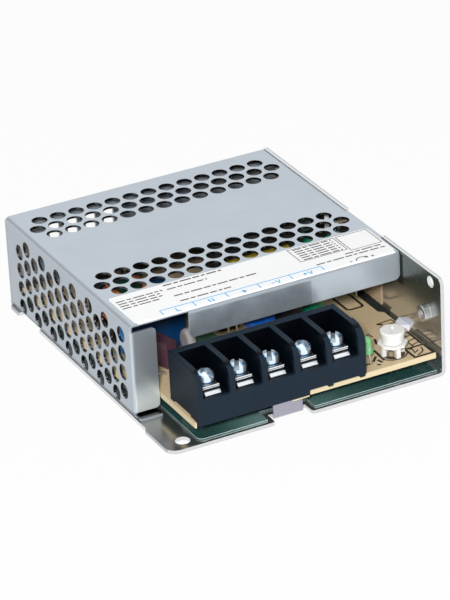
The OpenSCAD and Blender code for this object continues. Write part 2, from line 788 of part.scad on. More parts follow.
// One folded sheet: the base with its ears, notch and tab, and the right side wall
module chassis() {
    bend_x = right - chassis_bend_r;
    notch0 = left + notch_x - notch_w / 2;
    notch1 = left + notch_x + notch_w / 2;
    notch_y = front + notch_d;
    tab_y = front + tab_setback;
    tab_x0 = left + notch_x - tab_w / 2;
    tab_x1 = left + notch_x + tab_w / 2;
    base_outline = concat(
        arc([left + base_corner_r, front + base_corner_r], base_corner_r, 180, 270),
        arc([notch0 - notch_r, front + notch_r], notch_r, 270, 360, 3),
        [[notch0, notch_y], [notch1, notch_y]],
        arc([notch1 + notch_r, front + notch_r], notch_r, 180, 270, 3),
        [[bend_x, front], [bend_x, rear]],
        arc([left + rear_ear_r, rear - rear_ear_r], rear_ear_r, 90, 180, 4),
        [
            [left, rear - rear_ear_l],
            [left + cutback_d, rear - rear_ear_l],
            [left + cutback_d, rear - rear_ear_l - cutback_l],
            [left + ear_step, rear - rear_ear_l - cutback_l],
            [left + ear_step, front + ear_l + ear_step],
            [left, front + ear_l]
        ]
    );
    seat_z = cover_under - sheet_gap;
    lance_z = board_top + lance_gap;
    lance_y0 = front + lance_front;
    lance_y1 = lance_y0 + lance_l;
    lance_root = wall_in + chassis_t / 2;
    wall_outline = concat(
        [[front, chassis_bend_r], [rear, chassis_bend_r], [rear, case_h - wall_rear_chamfer]],
        [[rear - wall_rear_chamfer, case_h], [seat_y1, case_h], [seat_y1, seat_z]],
        [[seat_y0, seat_z], [seat_y0, case_h]],
        arc([front + wall_corner_r, case_h - wall_corner_r], wall_corner_r, 90, 180)
    );
    color("gainsboro")
    difference() {
        union() {
            flat_sheet(0, chassis_t) difference() {
                polygon(base_outline);
                translate([left + mount_hole_x, front + mount_hole_y]) circle(d = mount_hole_d);
                for (p = standoff_pos) translate(p) circle(d = standoff_shank_d);
            }
            front_sheet(front, case_l)
                polygon(bend([bend_x, chassis_bend_r], chassis_bend_r, chassis_t, 270));
            side_sheet(wall_in, chassis_t) difference() {
                polygon(wall_outline);
                translate([front + wall_hole_y, case_h - wall_hole_drop]) circle(d = wall_hole_d);
                for (y = clip_screw_ys) translate([y, clip_z]) circle(d = thread_core_d);
                polygon([
                    [lance_y0, lance_z], [lance_y1, lance_z], [lance_y1 - lance_taper, lance_z - lance_reach],
                    [lance_y0 + lance_taper, lance_z - lance_reach]
                ]);
            }
            side_sheet(tab_x0, tab_w) polygon([
                [tab_y, 0], [notch_y, 0], [notch_y, chassis_t],
                [tab_y + chassis_t, chassis_t], [tab_y + chassis_t, board_z], [tab_y, board_z]
            ]);
            flat_sheet(lance_z, chassis_t) polygon([
                [lance_root, lance_y0], [wall_in, lance_y0], [wall_in - lance_reach, lance_y0 + lance_taper],
                [wall_in - lance_reach, lance_y1 - lance_taper], [wall_in, lance_y1], [lance_root, lance_y1]
            ]);
            for (p = base_thread_pos)
                translate([p[0], p[1], chassis_t]) cylinder(d = boss_d, h = boss_h);
            for (y = side_thread_ys) bar_x(wall_in - side_boss_h, wall_in, y, side_thread_z, boss_d);
        }
        for (p = base_thread_pos)
            translate([p[0], p[1], -1]) cylinder(d = thread_core_d, h = chassis_t + boss_h + 2);
        for (y = side_thread_ys)
            bar_x(wall_in - side_boss_h - 1, right + 1, y, side_thread_z, thread_core_d);
        for (p = cover_screw_pos) translate([p[0], p[1], 0]) {
            cylinder(d1 = cover_head_d + 2 * fit_clear, d2 = thread_core_d + 2 * fit_clear, h = cover_head_h);
            translate([0, 0, -1]) cylinder(d = thread_core_d + 2 * fit_clear, h = chassis_t + 2);
        }
    }
}

// Staggered vent holes, with rows along the first axis
module vent_rows(count, rows) {
    for (j = [0:rows - 1]) {
        n = count + j % 2;
        for (i = [0:n - 1])
            translate([(i - (n - 1) / 2) * vent_pitch, j * vent_row]) circle(d = vent_d, $fn = 24);
    }
}

// One folded perforated sheet: top, left wall, rear wall, front lip, left front flap and foot
module cover() {
    flat_left = cover_left + cover_bend_r;
    flat_rear = rear - cover_bend_r;
    flat_front = cover_front + cover_bend_r;
    flat_top = cover_top - cover_bend_r;
    cut_front = cover_front + cover_t / 2;
    lip_x = cover_left + lip_inset;
    lip_z = cover_top - lip_h;
    lip_w = cover_right - lip_x;
    flap_x = cover_left + flap_w;
    flap_z0 = foot_z + flap_rise;
    flap_z1 = cover_top - flap_drop;
    foot_bend_z = floor_z + cover_bend_r;
    foot_front = cover_front - foot_reach;
    wall_rear = rear - cover_t - sheet_gap;
    vent_count = floor((cover_right - flat_left - 2 * vent_margin) / vent_pitch) + 1;
    side_vent_l = rear - cover_front - side_vent_y - side_vent_margin;
    side_vent_h = flat_top - floor_z - side_vent_z - vent_d / 2;
    side_vent_cols = floor(side_vent_l / vent_row) + 1;
    side_vent_rows = floor(side_vent_h / vent_pitch - 0.5) + 1;
    color("lightsteelblue")
    union() {
        flat_sheet(cover_under, cover_t) difference() {
            polygon([
                [flat_left, cut_front], [lip_x, cut_front], [lip_x, flat_front],
                [cover_right, flat_front], [cover_right, seat_y0 + sheet_gap],
                [right - seat_inset, seat_y0 + sheet_gap], [right - seat_inset, seat_y1 - sheet_gap],
                [cover_right, seat_y1 - sheet_gap], [cover_right, flat_rear], [flat_left, flat_rear]
            ]);
            translate([0, rear - rear_band_y]) mirror([0, 1]) vent_rows(vent_count, 3);
            translate([0, cover_front + front_band_y]) vent_rows(vent_count, 3);
        }
        side_sheet(cover_left, cover_t) difference() {
            polygon([
                [cut_front, foot_bend_z], [wall_rear, foot_bend_z], [wall_rear, flat_top],
                [cut_front, flat_top], [cut_front, flap_z1], [flat_front, flap_z1],
                [flat_front, flap_z0], [cut_front, flap_z0]
            ]);
            for (i = [0:side_vent_cols - 1], j = [0:side_vent_rows - 1])
                translate([
                    rear - side_vent_y - i * vent_row,
                    floor_z + side_vent_z + (j + i % 2 / 2) * vent_pitch
                ])
                    circle(d = vent_d, $fn = 24);
        }
        front_sheet(rear - cover_t, cover_t) difference() {
            polygon([
                [cover_left, floor_z + sheet_gap], [cover_right, floor_z + sheet_gap],
                [cover_right, flat_top], [cover_left, flat_top]
            ]);
            for (i = [0:rear_slots - 1])
                translate([cover_left + rear_slot_x + i * vent_pitch, floor_z + rear_slot_z])
                    polygon(rounded(-rear_slot_w / 2, 0, rear_slot_w / 2, rear_slot_h, rear_slot_r));
        }
        front_sheet(cover_front, cover_t) polygon(concat(
            arc([lip_x + lip_r, lip_z + lip_r], lip_r, 180, 270),
            arc([cover_right - lip_r, lip_z + lip_r], lip_r, 270, 360),
            [[cover_right, flat_top], [lip_x, flat_top]]
        ));
        front_sheet(cover_front, cover_t) polygon(concat(
            [[flat_left, flap_z1], [flat_left, flap_z0]],
            arc([flap_x - flap_r, flap_z0 + flap_r], flap_r, 270, 360),
            arc([flap_x - flap_r, flap_z1 - flap_r], flap_r, 0, 90)
        ));
        front_sheet(cut_front, flat_rear - cut_front)
            polygon(bend([flat_left, flat_top], cover_bend_r, cover_t, 90));
        side_sheet(flat_left, cover_right - flat_left)
            polygon(bend([flat_rear, flat_top], cover_bend_r, cover_t, 0));
        side_sheet(lip_x, lip_w)
            polygon(bend([flat_front, flat_top], cover_bend_r, cover_t, 90));
        flat_sheet(flap_z0, flap_z1 - flap_z0)
            polygon(bend([flat_left, flat_front], cover_bend_r, cover_t, 180));
        front_sheet(foot_front, wall_rear - foot_front)
            polygon(bend([flat_left, foot_bend_z], cover_bend_r, cover_t, 180));
        flat_sheet(floor_z, cover_t) difference() {
            translate([flat_left, foot_front])
                square([foot_w - cover_bend_r, wall_rear - foot_front]);
            for (p = cover_screw_pos) translate(p) circle(d = thread_core_d);
        }
    }
}

module cover_screws() {
    color("silver")
    for (p = cover_screw_pos) translate([p[0], p[1], 0]) {
        cylinder(d1 = cover_head_d, d2 = core_shank_d, h = cover_head_h);
        cylinder(d = core_shank_d, h = cover_screw_l);
    }
}

module label_plate() {
    x0 = cover_left + label_left;
    x1 = cover_right - label_right;
    y0 = cover_front + cover_bend_r + label_front;
    color("white")
    flat_sheet(cover_top, label_t) polygon(rounded(x0, y0, x1, y0 + label_d, label_r));
}

module insulation_film() {
    x0 = board_left - board_rim + film_inset;
    x1 = wall_in - chassis_bend_r + chassis_t;
    y0 = front + film_front;
    y1 = board_rear;
    cut0 = left + notch_x - notch_w / 2 - film_cut;
    cut1 = left + notch_x + notch_w / 2 + film_cut;
    color("darkslategray", 0.6)
    flat_sheet(floor_z, film_t) difference() {
        polygon(concat(
            arc([x0 + film_r, y0 + film_r], film_r, 180, 270, 4),
            [[cut0, y0], [cut0, front + film_cut_d], [cut1, front + film_cut_d]],
            [[cut1, y0], [x1, y0], [x1, y1], [x0, y1]]
        ));
        for (p = standoff_pos) translate(p) circle(d = standoff_d + 2 * fit_clear);
        for (p = support_pos) translate(p) circle(d = support_d + 2 * fit_clear);
        for (p = base_thread_pos) translate(p) circle(d = boss_d + 2 * fit_clear);
    }
}

// Places of the poles across the block
function pole_x(i) = block_left + partition_t / 2 + pole_pitch * (i + 0.5);

// Places of the adjuster's terminals, their flat sides towards the pivot
module trim_leg_places() {
    for (a = [90, 180, 270])
        translate([trim_pos[0], trim_pos[1], 0]) rotate([0, 0, post_turn + a])
            translate([trim_leg_r, 0, 0]) children();
}

module circuit_board() {
    step_x = board_left + board_step_x;
    step_y = board_front + board_step_d;
    edge_x = board_left - board_rim;
    rim_x = block_left - fit_clear;
    slot_x = board_right - wall_slot_d;
    slot_y = board_front + wall_slot_front;
    color("burlywood")
    flat_sheet(board_z, board_t) difference() {
        polygon([
            [edge_x, board_front], [rim_x, board_front], [rim_x, step_y], [step_x, step_y],
            [step_x, board_front], [board_right, board_front], [board_right, slot_y],
            [slot_x, slot_y + wall_slot_d], [slot_x, board_rear], [edge_x, board_rear]
        ]);
        for (p = LEADS) translate([p[0], p[1]]) circle(d = lead_d + 2 * fit_clear, $fn = 16);
        for (p = standoff_pos) translate(p) circle(d = thread_core_d + 2 * fit_clear);
        for (i = [0:pole_count - 1])
            translate([pole_x(i), leg_y + contact_t / 2])
                square([contact_leg_w, contact_t] + 2 * fit_clear * [1, 1], center = true);
        trim_leg_places() square([trim_leg_t, trim_leg_w] + 2 * fit_clear * [1, 1], center = true);
        for (s = [-1, 1])
            translate([led_pos[0], led_pos[1] + s * led_lead_dy / 2])
                square((led_lead_t + 2 * fit_clear) * [1, 1], center = true);
    }
}

module board_standoffs() {
    color("silver")
    for (p = standoff_pos) translate([p[0], p[1], 0]) difference() {
        union() {
            cylinder(d = standoff_shank_d, h = chassis_t);
            translate([0, 0, chassis_t]) cylinder(d = standoff_d, h = board_gap);
        }
        translate([0, 0, chassis_t]) cylinder(d = thread_core_d, h = board_gap + 1);
    }
}

module board_screws() {
    color("silver")
    for (p = standoff_pos) translate([p[0], p[1], board_top])
        pan_screw(head_d, head_h, core_shank_d, board_t + board_gap - 0.6);
}

module board_supports() {
    color("ivory")
    for (p = support_pos) translate([p[0], p[1], floor_z]) cylinder(d = support_d, h = board_gap);
}

// Moulded block with a bay for each pole, open in front and above
module terminal_housing() {
    body_z = board_top + foot_h;
    partition = concat(
        [[block_front, body_z], [block_rear, body_z], [block_rear, block_top]],
        arc([block_front + partition_r, block_top - partition_r], partition_r, 90, 180, 8)
    );
    leg_slot = [contact_leg_w, contact_t] + 2 * fit_clear * [1, 1];
    well_d = screw_d + 0.6;
    well_z = bay_z - screw_reach - 0.5;
    color("#20242b")
    difference() {
        union() {
            block([block_left, block_front, body_z], [block_right, block_rear, bay_z]);
            block([block_left, block_rear - block_rear_t, bay_z], [block_right, block_rear, block_top]);
            for (i = [0:pole_count]) {
                side_sheet(block_left + i * pole_pitch, partition_t) polygon(partition);
                for (y = [board_front + board_step_d, block_rear - foot_l])
                    block(
                        [block_left + i * pole_pitch, y, board_top],
                        [block_left + i * pole_pitch + partition_t, y + foot_l, body_z]
                    );
                if (block_left + i * pole_pitch > board_left + board_step_x)
                    block(
                        [block_left + i * pole_pitch, block_front, board_top],
                        [block_left + i * pole_pitch + partition_t, board_front + foot_l, body_z]
                    );
            }
            block(
                [block_left, block_front, board_top - skirt_h],
                [board_left + board_step_x - fit_clear, board_front + board_step_d - fit_clear, body_z]
            );
            side_sheet(block_right, end_pad_t) intersection() {
                polygon(partition);
                translate([block_front, body_z]) square([end_pad_l, block_h]);
            }
        }
        for (i = [0:pole_count - 1]) {
            translate([pole_x(i), screw_axis_y, well_z]) cylinder(d = well_d, h = bay_z + 1 - well_z);
            translate([pole_x(i), leg_y + contact_t / 2, body_z - 1])
                linear_extrude(bay_floor + 2) square(leg_slot, center = true);
        }
    }
}

// Contact strips with a sloped front edge, each with a leg through the board
module contact_plates() {
    slope = 0.7;
    y0 = block_front + contact_front;
    y1 = y0 + contact_l;
    leg_z = board_z - lead_stub;
    color("silver")
    for (i = [0:pole_count - 1]) difference() {
        union() {
            side_sheet(pole_x(i) - contact_w / 2, contact_w) polygon([
                [y0, bay_z], [y1, bay_z], [y1, contact_top],
                [y0 + slope, contact_top], [y0, contact_top - slope]
            ]);
            block(
                [pole_x(i) - contact_leg_w / 2, leg_y, leg_z],
                [pole_x(i) + contact_leg_w / 2, leg_y + contact_t, bay_z]
            );
        }
        translate([pole_x(i), screw_axis_y, bay_z - 1])
            cylinder(d = screw_d + 2 * fit_clear, h = contact_t + 2);
    }
}

// Oblong clamp washers with a raised front edge that guides the wire in
module clamp_washers() {
    lead_in = 0.8;
    lift = 0.3;
    color("silver")
    for (i = [0:pole_count - 1]) difference() {
        side_sheet(pole_x(i) - clamp_w / 2, clamp_w) polygon([
            [screw_axis_y - clamp_d / 2, contact_top + lift],
            [screw_axis_y - clamp_d / 2 + lead_in, contact_top],
            [screw_axis_y + clamp_d / 2, contact_top],
            [screw_axis_y + clamp_d / 2, clamp_top],
            [screw_axis_y - clamp_d / 2 + lead_in, clamp_top],
            [screw_axis_y - clamp_d / 2, clamp_top + lift]
        ]);
        translate([pole_x(i), screw_axis_y, contact_top - 1])
            cylinder(d = screw_d + 2 * fit_clear, h = clamp_t + 2);
    }
}

module lock_washers() {
    color("silver")
    for (i = [0:pole_count - 1]) translate([pole_x(i), screw_axis_y, clamp_top]) difference() {
        cylinder(d = lock_d, h = lock_t);
        translate([0, 0, -1]) cylinder(d = screw_d + 2 * fit_clear, h = lock_t + 2);
    }
}

// Pan head screws with a slot and a cross recess
module terminal_screws() {
    length = lock_t + clamp_t + contact_t + screw_reach;
    cross_l = head_d * 0.54;
    cross_d = slot_d + 0.5;
    color("gainsboro")
    for (i = [0:pole_count - 1]) translate([pole_x(i), screw_axis_y, head_z]) difference() {
        pan_screw(head_d, screw_head_h, screw_d, length);
        rotate([0, 0, slot_turns[i % len(slot_turns)]]) {
            translate([-head_d, -slot_w / 2, screw_head_h - slot_d]) cube([2 * head_d, slot_w, slot_d + 1]);
            for (a = [0, 90]) rotate([0, 0, a])
                translate([-cross_l / 2, -slot_w / 2, screw_head_h - cross_d])
                    cube([cross_l, slot_w, cross_d + 1]);
        }
    }
}

module led_lens() {
    rim_h = 0.9;
    r = led_top_d / 2;
    color("limegreen", 0.8)
    translate([led_pos[0], led_pos[1], board_top + led_lift]) rotate_extrude()
        polygon(concat(
            [[0, 0], [led_rim_d / 2, 0], [led_rim_d / 2, rim_h], [led_d / 2, rim_h]],
            arc([0, led_h - r], r, 0, 90, 8)
        ));
}

module led_leads() {
    z0 = board_z - lead_stub;
    color("silver")
    for (s = [-1, 1]) translate([led_pos[0], led_pos[1] + s * led_lead_dy / 2, z0])
        linear_extrude(board_top + led_lift - z0) square(led_lead_t * [1, 1], center = true);
}

// Eight-sided plate on four posts, with the hole for the knob's pivot
module trimmer_base() {
    across = plate_w / cos(22.5);
    color("whitesmoke")
    translate([trim_pos[0], trim_pos[1], plate_z]) difference() {
        union() {
            rotate([0, 0, 22.5]) cylinder(d = across, h = plate_t, $fn = 8);
            for (a = [0, 90, 180, 270]) rotate([0, 0, post_turn + a])
                translate([post_r - post_w / 2, -post_w / 2, -plate_lift])
                    cube([post_w, post_w, plate_lift + plate_t / 2]);
        }
        translate([0, 0, -1]) cylinder(d = pivot_d + 2 * pivot_clear, h = plate_t + 2);
    }
}

module trimmer_terminals() {
    z0 = board_z - lead_stub;
    color("silver")
    translate([0, 0, z0]) trim_leg_places()
        linear_extrude(plate_z - z0) square([trim_leg_t, trim_leg_w], center = true);
}

// Round knob with a screwdriver slot, and the riveted pivot under it
module trimmer_knob() {
    rivet_d = pivot_d + 0.9;
    rivet_h = 0.5;
    rivet_z = plate_z - knob_gap - rivet_h;
    round_r = 0.4;
    slot = [knob_d * 0.5, 0.7, 0.6];
    color("white")
    difference() {
        translate([trim_pos[0], trim_pos[1], 0]) rotate_extrude()
            polygon(concat(
                [[0, rivet_z], [rivet_d / 2, rivet_z], [rivet_d / 2, rivet_z + rivet_h]],
                [[pivot_d / 2, rivet_z + rivet_h], [pivot_d / 2, knob_z], [knob_base_d / 2, knob_z]],
                arc([knob_d / 2 - round_r, knob_z + knob_h - round_r], round_r, 0, 90, 3),
                [[0, knob_z + knob_h]]
            ));
        translate([trim_pos[0], trim_pos[1], knob_z + knob_h - slot[2] / 2])
            rotate([0, 0, 60]) cube(slot + [0, 0, 0.01], center = true);
    }
}

module fuse_box() {
    color("#5c2a35")
    translate([fuse_pos[0], fuse_pos[1], board_top + box_lift]) rotate([0, 0, fuse_turn])
        linear_extrude(fuse[2])
            polygon(rounded(-fuse[0] / 2, -fuse[1] / 2, fuse[0] / 2, fuse[1] / 2, 0.4));
}

module x_capacitor() {
    color("#0a4f9e")
    translate([x_cap_pos[0], x_cap_pos[1], board_top + box_lift])
        linear_extrude(x_cap[2])
            polygon(rounded(-x_cap[0] / 2, -x_cap[1] / 2, x_cap[0] / 2, x_cap[1] / 2, 0.6));
}

module ceramic_capacitor() {
    color("#cfc4c4")
    translate([ceramic_pos[0], ceramic_pos[1], disc_z + ceramic_d / 2])
        rotate([0, 90, 0]) coated_disc(ceramic_d, ceramic_t);
}

module film_capacitor() {
    color("#2c5d38")
    translate([film_cap_pos[0], film_cap_pos[1], board_top + box_lift])
        linear_extrude(film_cap[2])
            polygon(rounded(-film_cap[0] / 2, -film_cap[1] / 2, film_cap[0] / 2, film_cap[1] / 2, 1));
}

// Coated disc that leans back on its leads
module varistor() {
    rise = varistor_d / 2 * cos(varistor_lean) + varistor_t / 2 * sin(varistor_lean);
    color("#0b55c4")
    translate([varistor_pos[0], varistor_pos[1], board_top + varistor_lift + rise])
        rotate([90 - varistor_lean, 0, 0]) coated_disc(varistor_d, varistor_t);
}

module aux_capacitor() {
    color("#15161a")
    translate([aux_cap_pos[0], aux_cap_pos[1], board_top]) sleeved_can(aux_cap_d, aux_cap_h);
}

module output_capacitors() {
    color("#0f7a55")
    for (p = out_cap_pos) translate([p[0], p[1], board_top]) sleeved_can(out_cap_d, out_cap_h);
}

module bulk_capacitor() {
    color("#1b1d22")
    translate([bulk_end, bulk_pos[1], bulk_z]) rotate([0, 90, 0]) sleeved_can(bulk_d, bulk_l);
}

choke_z = board_top + choke_base_t + choke_d / 2;
choke_core_r0 = choke_bore / 2 + choke_wire;
choke_core_r1 = choke_d / 2 - choke_wire;
choke_core_w = choke_w - 2 * choke_wire;

// Ring core that stands on edge, its axis along Y
module choke_core() {
    color("#1c4a36")
    translate([choke_pos[0], choke_pos[1], choke_z]) rotate([90, 0, 0]) rotate_extrude()
        translate([choke_core_r0, -choke_core_w / 2])
            square([choke_core_r1 - choke_core_r0, choke_core_w]);
}

// Two windings, one on each side of the ring
module choke_windings() {
    gap = fit_clear;
    color("#c8611e")
    translate([choke_pos[0], choke_pos[1], choke_z]) rotate([90, 0, 0])
        for (a = [0, 180]) rotate([0, 0, a - choke_sweep / 2])
            rotate_extrude(angle = choke_sweep) difference() {
                translate([choke_bore / 2, -choke_w / 2])
                    square([(choke_d - choke_bore) / 2, choke_w]);
                translate([choke_core_r0 - gap, -choke_core_w / 2 - gap])
                    square([choke_core_r1 - choke_core_r0, choke_core_w] + 2 * gap * [1, 1]);
            }
}

module choke_base() {
    size = [choke_d - cradle_inset, choke_w + choke_base_t, choke_base_t + cradle_h];
    y0 = choke_pos[1] - choke_w;
    y1 = choke_pos[1] + choke_w;
    color("#1d1d1f")
    difference() {
        standing_box(choke_pos, size, board_top);
        bar_y(choke_pos[0], y0, y1, choke_z, choke_d + 2 * fit_clear);
    }
}

module bridge_rectifier() {
    corner = 2.4;
    w = bridge[0] / 2;
    color("#17181b")
    translate([bridge_pos[0], bridge_pos[1], board_top + bridge_lift])
        front_sheet(-bridge[1] / 2, bridge[1])
            polygon([[-w, 0], [w, 0], [w, bridge[2]], [corner - w, bridge[2]], [-w, bridge[2] - corner]]);
}

module thermistor() {
    color("#1f3a2c")
    translate([thermistor_pos[0], thermistor_pos[1], disc_z + thermistor_d / 2])
        rotate([0, 90, 0]) coated_disc(thermistor_d, thermistor_t);
}

module y_capacitors() {
    color("#1e63b8")
    for (p = y_cap_pos) translate([p[0], p[1], disc_z + y_cap_d / 2])
        rotate([90, 0, 0]) coated_disc(y_cap_d, y_cap_t);
}

core_win_w = (core_w - core_leg) / 2 - core_yoke;
core_win_h = core_h - 2 * core_yoke;

// Pair of E-shaped ferrite halves standing on the bobbin's pin rails
module transformer_core() {
    color("#232326")
    translate([transformer_pos[0], transformer_pos[1], core_z])
        front_sheet(-core_t / 2, core_t) difference() {
            translate([-core_w / 2, 0]) square([core_w, core_h]);
            for (s = [-1, 1])
                translate([s * (core_leg + core_win_w) / 2, core_h / 2])
                    square([core_win_w, core_win_h], center = true);
        }
}

// Bobbin: a tube round the centre leg, two flanges and two pin rails
module transformer_bobbin() {
    gap = fit_clear;
    tube = [core_leg, core_t] + 2 * gap * [1, 1];
    outer = tube + 2 * bobbin_t * [1, 1];
    flange = [2 * (core_win_w - 2 * gap) + core_leg, core_t + 2 * (winding_build + bobbin_t)];
    cap = [flange[0], core_t + 2 * cap_reach];
    z0 = core_yoke + gap;
    z1 = core_h - core_yoke - gap;
    color("#26262a")
    translate([transformer_pos[0], transformer_pos[1], core_z]) {
        difference() {
            union() {
                translate([0, 0, z0]) linear_extrude(z1 - z0) square(outer, center = true);
                translate([0, 0, z0]) linear_extrude(bobbin_t) square(flange, center = true);
                translate([0, 0, z1 - bobbin_t]) linear_extrude(bobbin_t) square(cap, center = true);
                for (s = [-1, 1])
                    translate([-flange[0] / 2, s * rail_y - rail_w / 2, 0])
                        cube([flange[0], rail_w, z0 + bobbin_t]);
            }
            translate([0, 0, z0 - 1]) linear_extrude(z1 - z0 + 2) square(tube, center = true);
        }
    }
}

// Winding under its tape
module transformer_winding() {
    gap = fit_clear;
    inner = [core_leg, core_t] + (4 * gap + 2 * bobbin_t) * [1, 1];
    x = core_leg / 2 + core_win_w - 3 * gap;
    y = core_t / 2 + winding_build;
    z0 = core_yoke + bobbin_t + 2 * gap;
    z1 = core_h - core_yoke - bobbin_t - 2 * gap;
    color("#d9b419")
    translate([transformer_pos[0], transformer_pos[1], core_z + z0])
        linear_extrude(z1 - z0) difference() {
            polygon(rounded(-x, -y, x, y, 2.4));
            square(inner, center = true);
        }
}

// Moulded power package with its face on the wall insulator
module power_package(y) {
    step = 1.4;
    step_z = package[2] * 0.42;
    translate([0, y - package[0] / 2, 0]) front_sheet(0, package[0]) polygon([
        [package_x, package_z], [package_x + package[1], package_z],
        [package_x + package[1], package_z + package[2]], [package_x + step, package_z + package[2]],
        [package_x + step, package_z + package[2] - step_z + step],
        [package_x, package_z + package[2] - step_z]
    ]);
}

module switching_transistor() {
    color("#18191c") power_package(switch_y);
}

module output_rectifier() {
    color("#18191c") power_package(rectifier_y);
}

module wall_insulator() {
    y0 = front + insulator_front;
    y1 = rear - insulator_rear;
    z0 = board_top + insulator_z;
    z1 = cover_under - insulator_headroom;
    color("tan")
    side_sheet(wall_in - insulator_t, insulator_t) difference() {
        translate([y0, z0]) square([y1 - y0, z1 - z0]);
        for (y = clip_screw_ys) translate([y, clip_z]) circle(d = thread_core_d + 2 * fit_clear);
        translate([side_thread_ys[1], side_thread_z]) circle(d = boss_d + 2 * fit_clear);
    }
}

// Spring clips: a foot on the wall, a riser beside the package and an arm across it
module package_clips() {
    x1 = wall_in - insulator_t;
    arm = 6;
    color("silver")
    for (i = [0, 1]) {
        y = [rectifier_y, switch_y][i] + package[0] / 2;
        difference() {
            flat_sheet(clip_z - clip_w / 2, clip_w) polygon([
                [package_x, y - arm], [package_x, y + fit_clear], [x1 - clip_t, y + fit_clear + 0.01],
                [x1, y + fit_clear + 0.01], [x1, y + clip_t + clip_foot],
                [x1 - clip_t, y + clip_t + clip_foot],
                [x1 - clip_t, y + clip_t + fit_clear], [package_x - clip_t, y + clip_t + fit_clear],
                [package_x - clip_t, y - arm]
            ]);
            bar_x(x1 - clip_t - 1, x1 + 1, clip_screw_ys[i], clip_z, thread_core_d + 2 * fit_clear);
        }
    }
}

module clip_screws() {
    seat_x = wall_in - insulator_t - clip_t;
    color("silver")
    for (y = clip_screw_ys) translate([seat_x, y, clip_z]) rotate([0, -90, 0])
        pan_screw(head_d, head_h, core_shank_d, right - seat_x);
}

// Ferrite drum with a flange at each end
module output_inductor_core() {
    r0 = inductor_waist / 2;
    r1 = inductor_d / 2;
    color("#2b2b2e")
    translate([inductor_pos[0], inductor_pos[1], board_top]) rotate_extrude()
        polygon([
            [0, 0], [r1, 0], [r1, inductor_flange], [r0, inductor_flange],
            [r0, inductor_h - inductor_flange], [r1, inductor_h - inductor_flange],
            [r1, inductor_h], [0, inductor_h]
        ]);
}

module output_inductor_coil() {
    r0 = inductor_waist / 2 + fit_clear;
    r1 = inductor_d / 2 - 0.5;
    z0 = inductor_flange + fit_clear;
    color("#b0662c")
    translate([inductor_pos[0], inductor_pos[1], board_top]) rotate_extrude()
        translate([r0, z0]) square([r1 - r0, inductor_h - 2 * z0]);
}

// Moulded chip package with an index notch in one end
module dual_inline(p, size) {
    difference() {
        standing_box(p, size, board_top + chip_lift);
        translate([p[0] - size[0] / 2, p[1], board_top + chip_lift + size[2] - 0.5]) cylinder(d = 1.4, h = 1);
    }
}

module optocoupler() {
    color("#1a1b1e") dual_inline(opto_pos, opto);
}

module control_chip() {
    color("#1a1b1e") dual_inline(chip_pos, chip);
}

module power_resistors() {
    color("#8a7f6a")
    for (p = resistor_pos)
        bar_x(p[0] - resistor_l / 2, p[0] + resistor_l / 2, p[1], resistor_z, resistor_d);
}

// Wire leads through the board, with the horizontal runs of the lying parts
module component_leads() {
    z0 = board_z - lead_stub;
    color("silver") {
        for (p = LEADS) translate([p[0], p[1], z0]) cylinder(d = lead_d, h = p[2] - z0, $fn = 16);
        for (p = pair([bulk_lead_x, bulk_pos[1]], [0, bulk_leads]))
            bar_x(bulk_lead_x, bulk_end, p[1], bulk_z, run_d);
        for (p = resistor_pos) {
            bar_x(p[0] - resistor_lead_dx / 2, p[0] - resistor_l / 2, p[1], resistor_z, run_d);
            bar_x(p[0] + resistor_l / 2, p[0] + resistor_lead_dx / 2, p[1], resistor_z, run_d);
        }
        for (s = [-1, 1]) {
            lead_shoulders(opto_pos, opto, 2, s);
            lead_shoulders(chip_pos, chip, 4, s);
        }
    }
}

// Flat shoulders that join a chip's body to its pins
module lead_shoulders(p, size, n, s) {
    for (q = lead_row(p + [0, s * pin_row_dy / 2], [pin_pitch, 0], n)) {
        a = p[1] + s * size[1] / 2;
        block(
            [q[0] - run_d / 2, min(a, q[1]), shoulder_z - run_d],
            [q[0] + run_d / 2, max(a, q[1]), shoulder_z]
        );
    }
}

chassis();
cover();
cover_screws();
label_plate();
insulation_film();
circuit_board();
board_standoffs();
board_screws();
board_supports();
terminal_housing();
contact_plates();
clamp_washers();
lock_washers();
terminal_screws();
led_lens();
led_leads();
trimmer_base();
trimmer_terminals();
trimmer_knob();
fuse_box();
x_capacitor();
ceramic_capacitor();
film_capacitor();
varistor();
aux_capacitor();
output_capacitors();
bulk_capacitor();
choke_core();
choke_windings();
choke_base();
bridge_rectifier();
thermistor();
y_capacitors();
transformer_core();
transformer_bobbin();
transformer_winding();
switching_transistor();
output_rectifier();
wall_insulator();
package_clips();
clip_screws();
output_inductor_core();
output_inductor_coil();
optocoupler();
control_chip();
power_resistors();
component_leads();
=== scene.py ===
import math

import bmesh
import bpy
from mathutils import Matrix, Vector


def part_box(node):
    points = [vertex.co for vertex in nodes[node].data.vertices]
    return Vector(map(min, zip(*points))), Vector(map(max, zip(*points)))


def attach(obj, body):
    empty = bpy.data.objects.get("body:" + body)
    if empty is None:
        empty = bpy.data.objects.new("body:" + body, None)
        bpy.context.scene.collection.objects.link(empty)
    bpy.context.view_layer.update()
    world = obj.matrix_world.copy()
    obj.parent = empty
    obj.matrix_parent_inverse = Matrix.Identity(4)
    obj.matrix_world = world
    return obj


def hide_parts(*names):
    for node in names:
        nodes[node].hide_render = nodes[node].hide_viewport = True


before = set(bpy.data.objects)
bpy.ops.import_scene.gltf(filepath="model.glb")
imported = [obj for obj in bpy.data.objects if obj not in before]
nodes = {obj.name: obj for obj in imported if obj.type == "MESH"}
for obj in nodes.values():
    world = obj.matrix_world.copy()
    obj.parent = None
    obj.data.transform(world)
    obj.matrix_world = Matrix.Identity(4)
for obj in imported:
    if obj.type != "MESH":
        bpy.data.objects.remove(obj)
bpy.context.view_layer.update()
mm = 0.001
print("frame loaded,", len(nodes), "pieces")


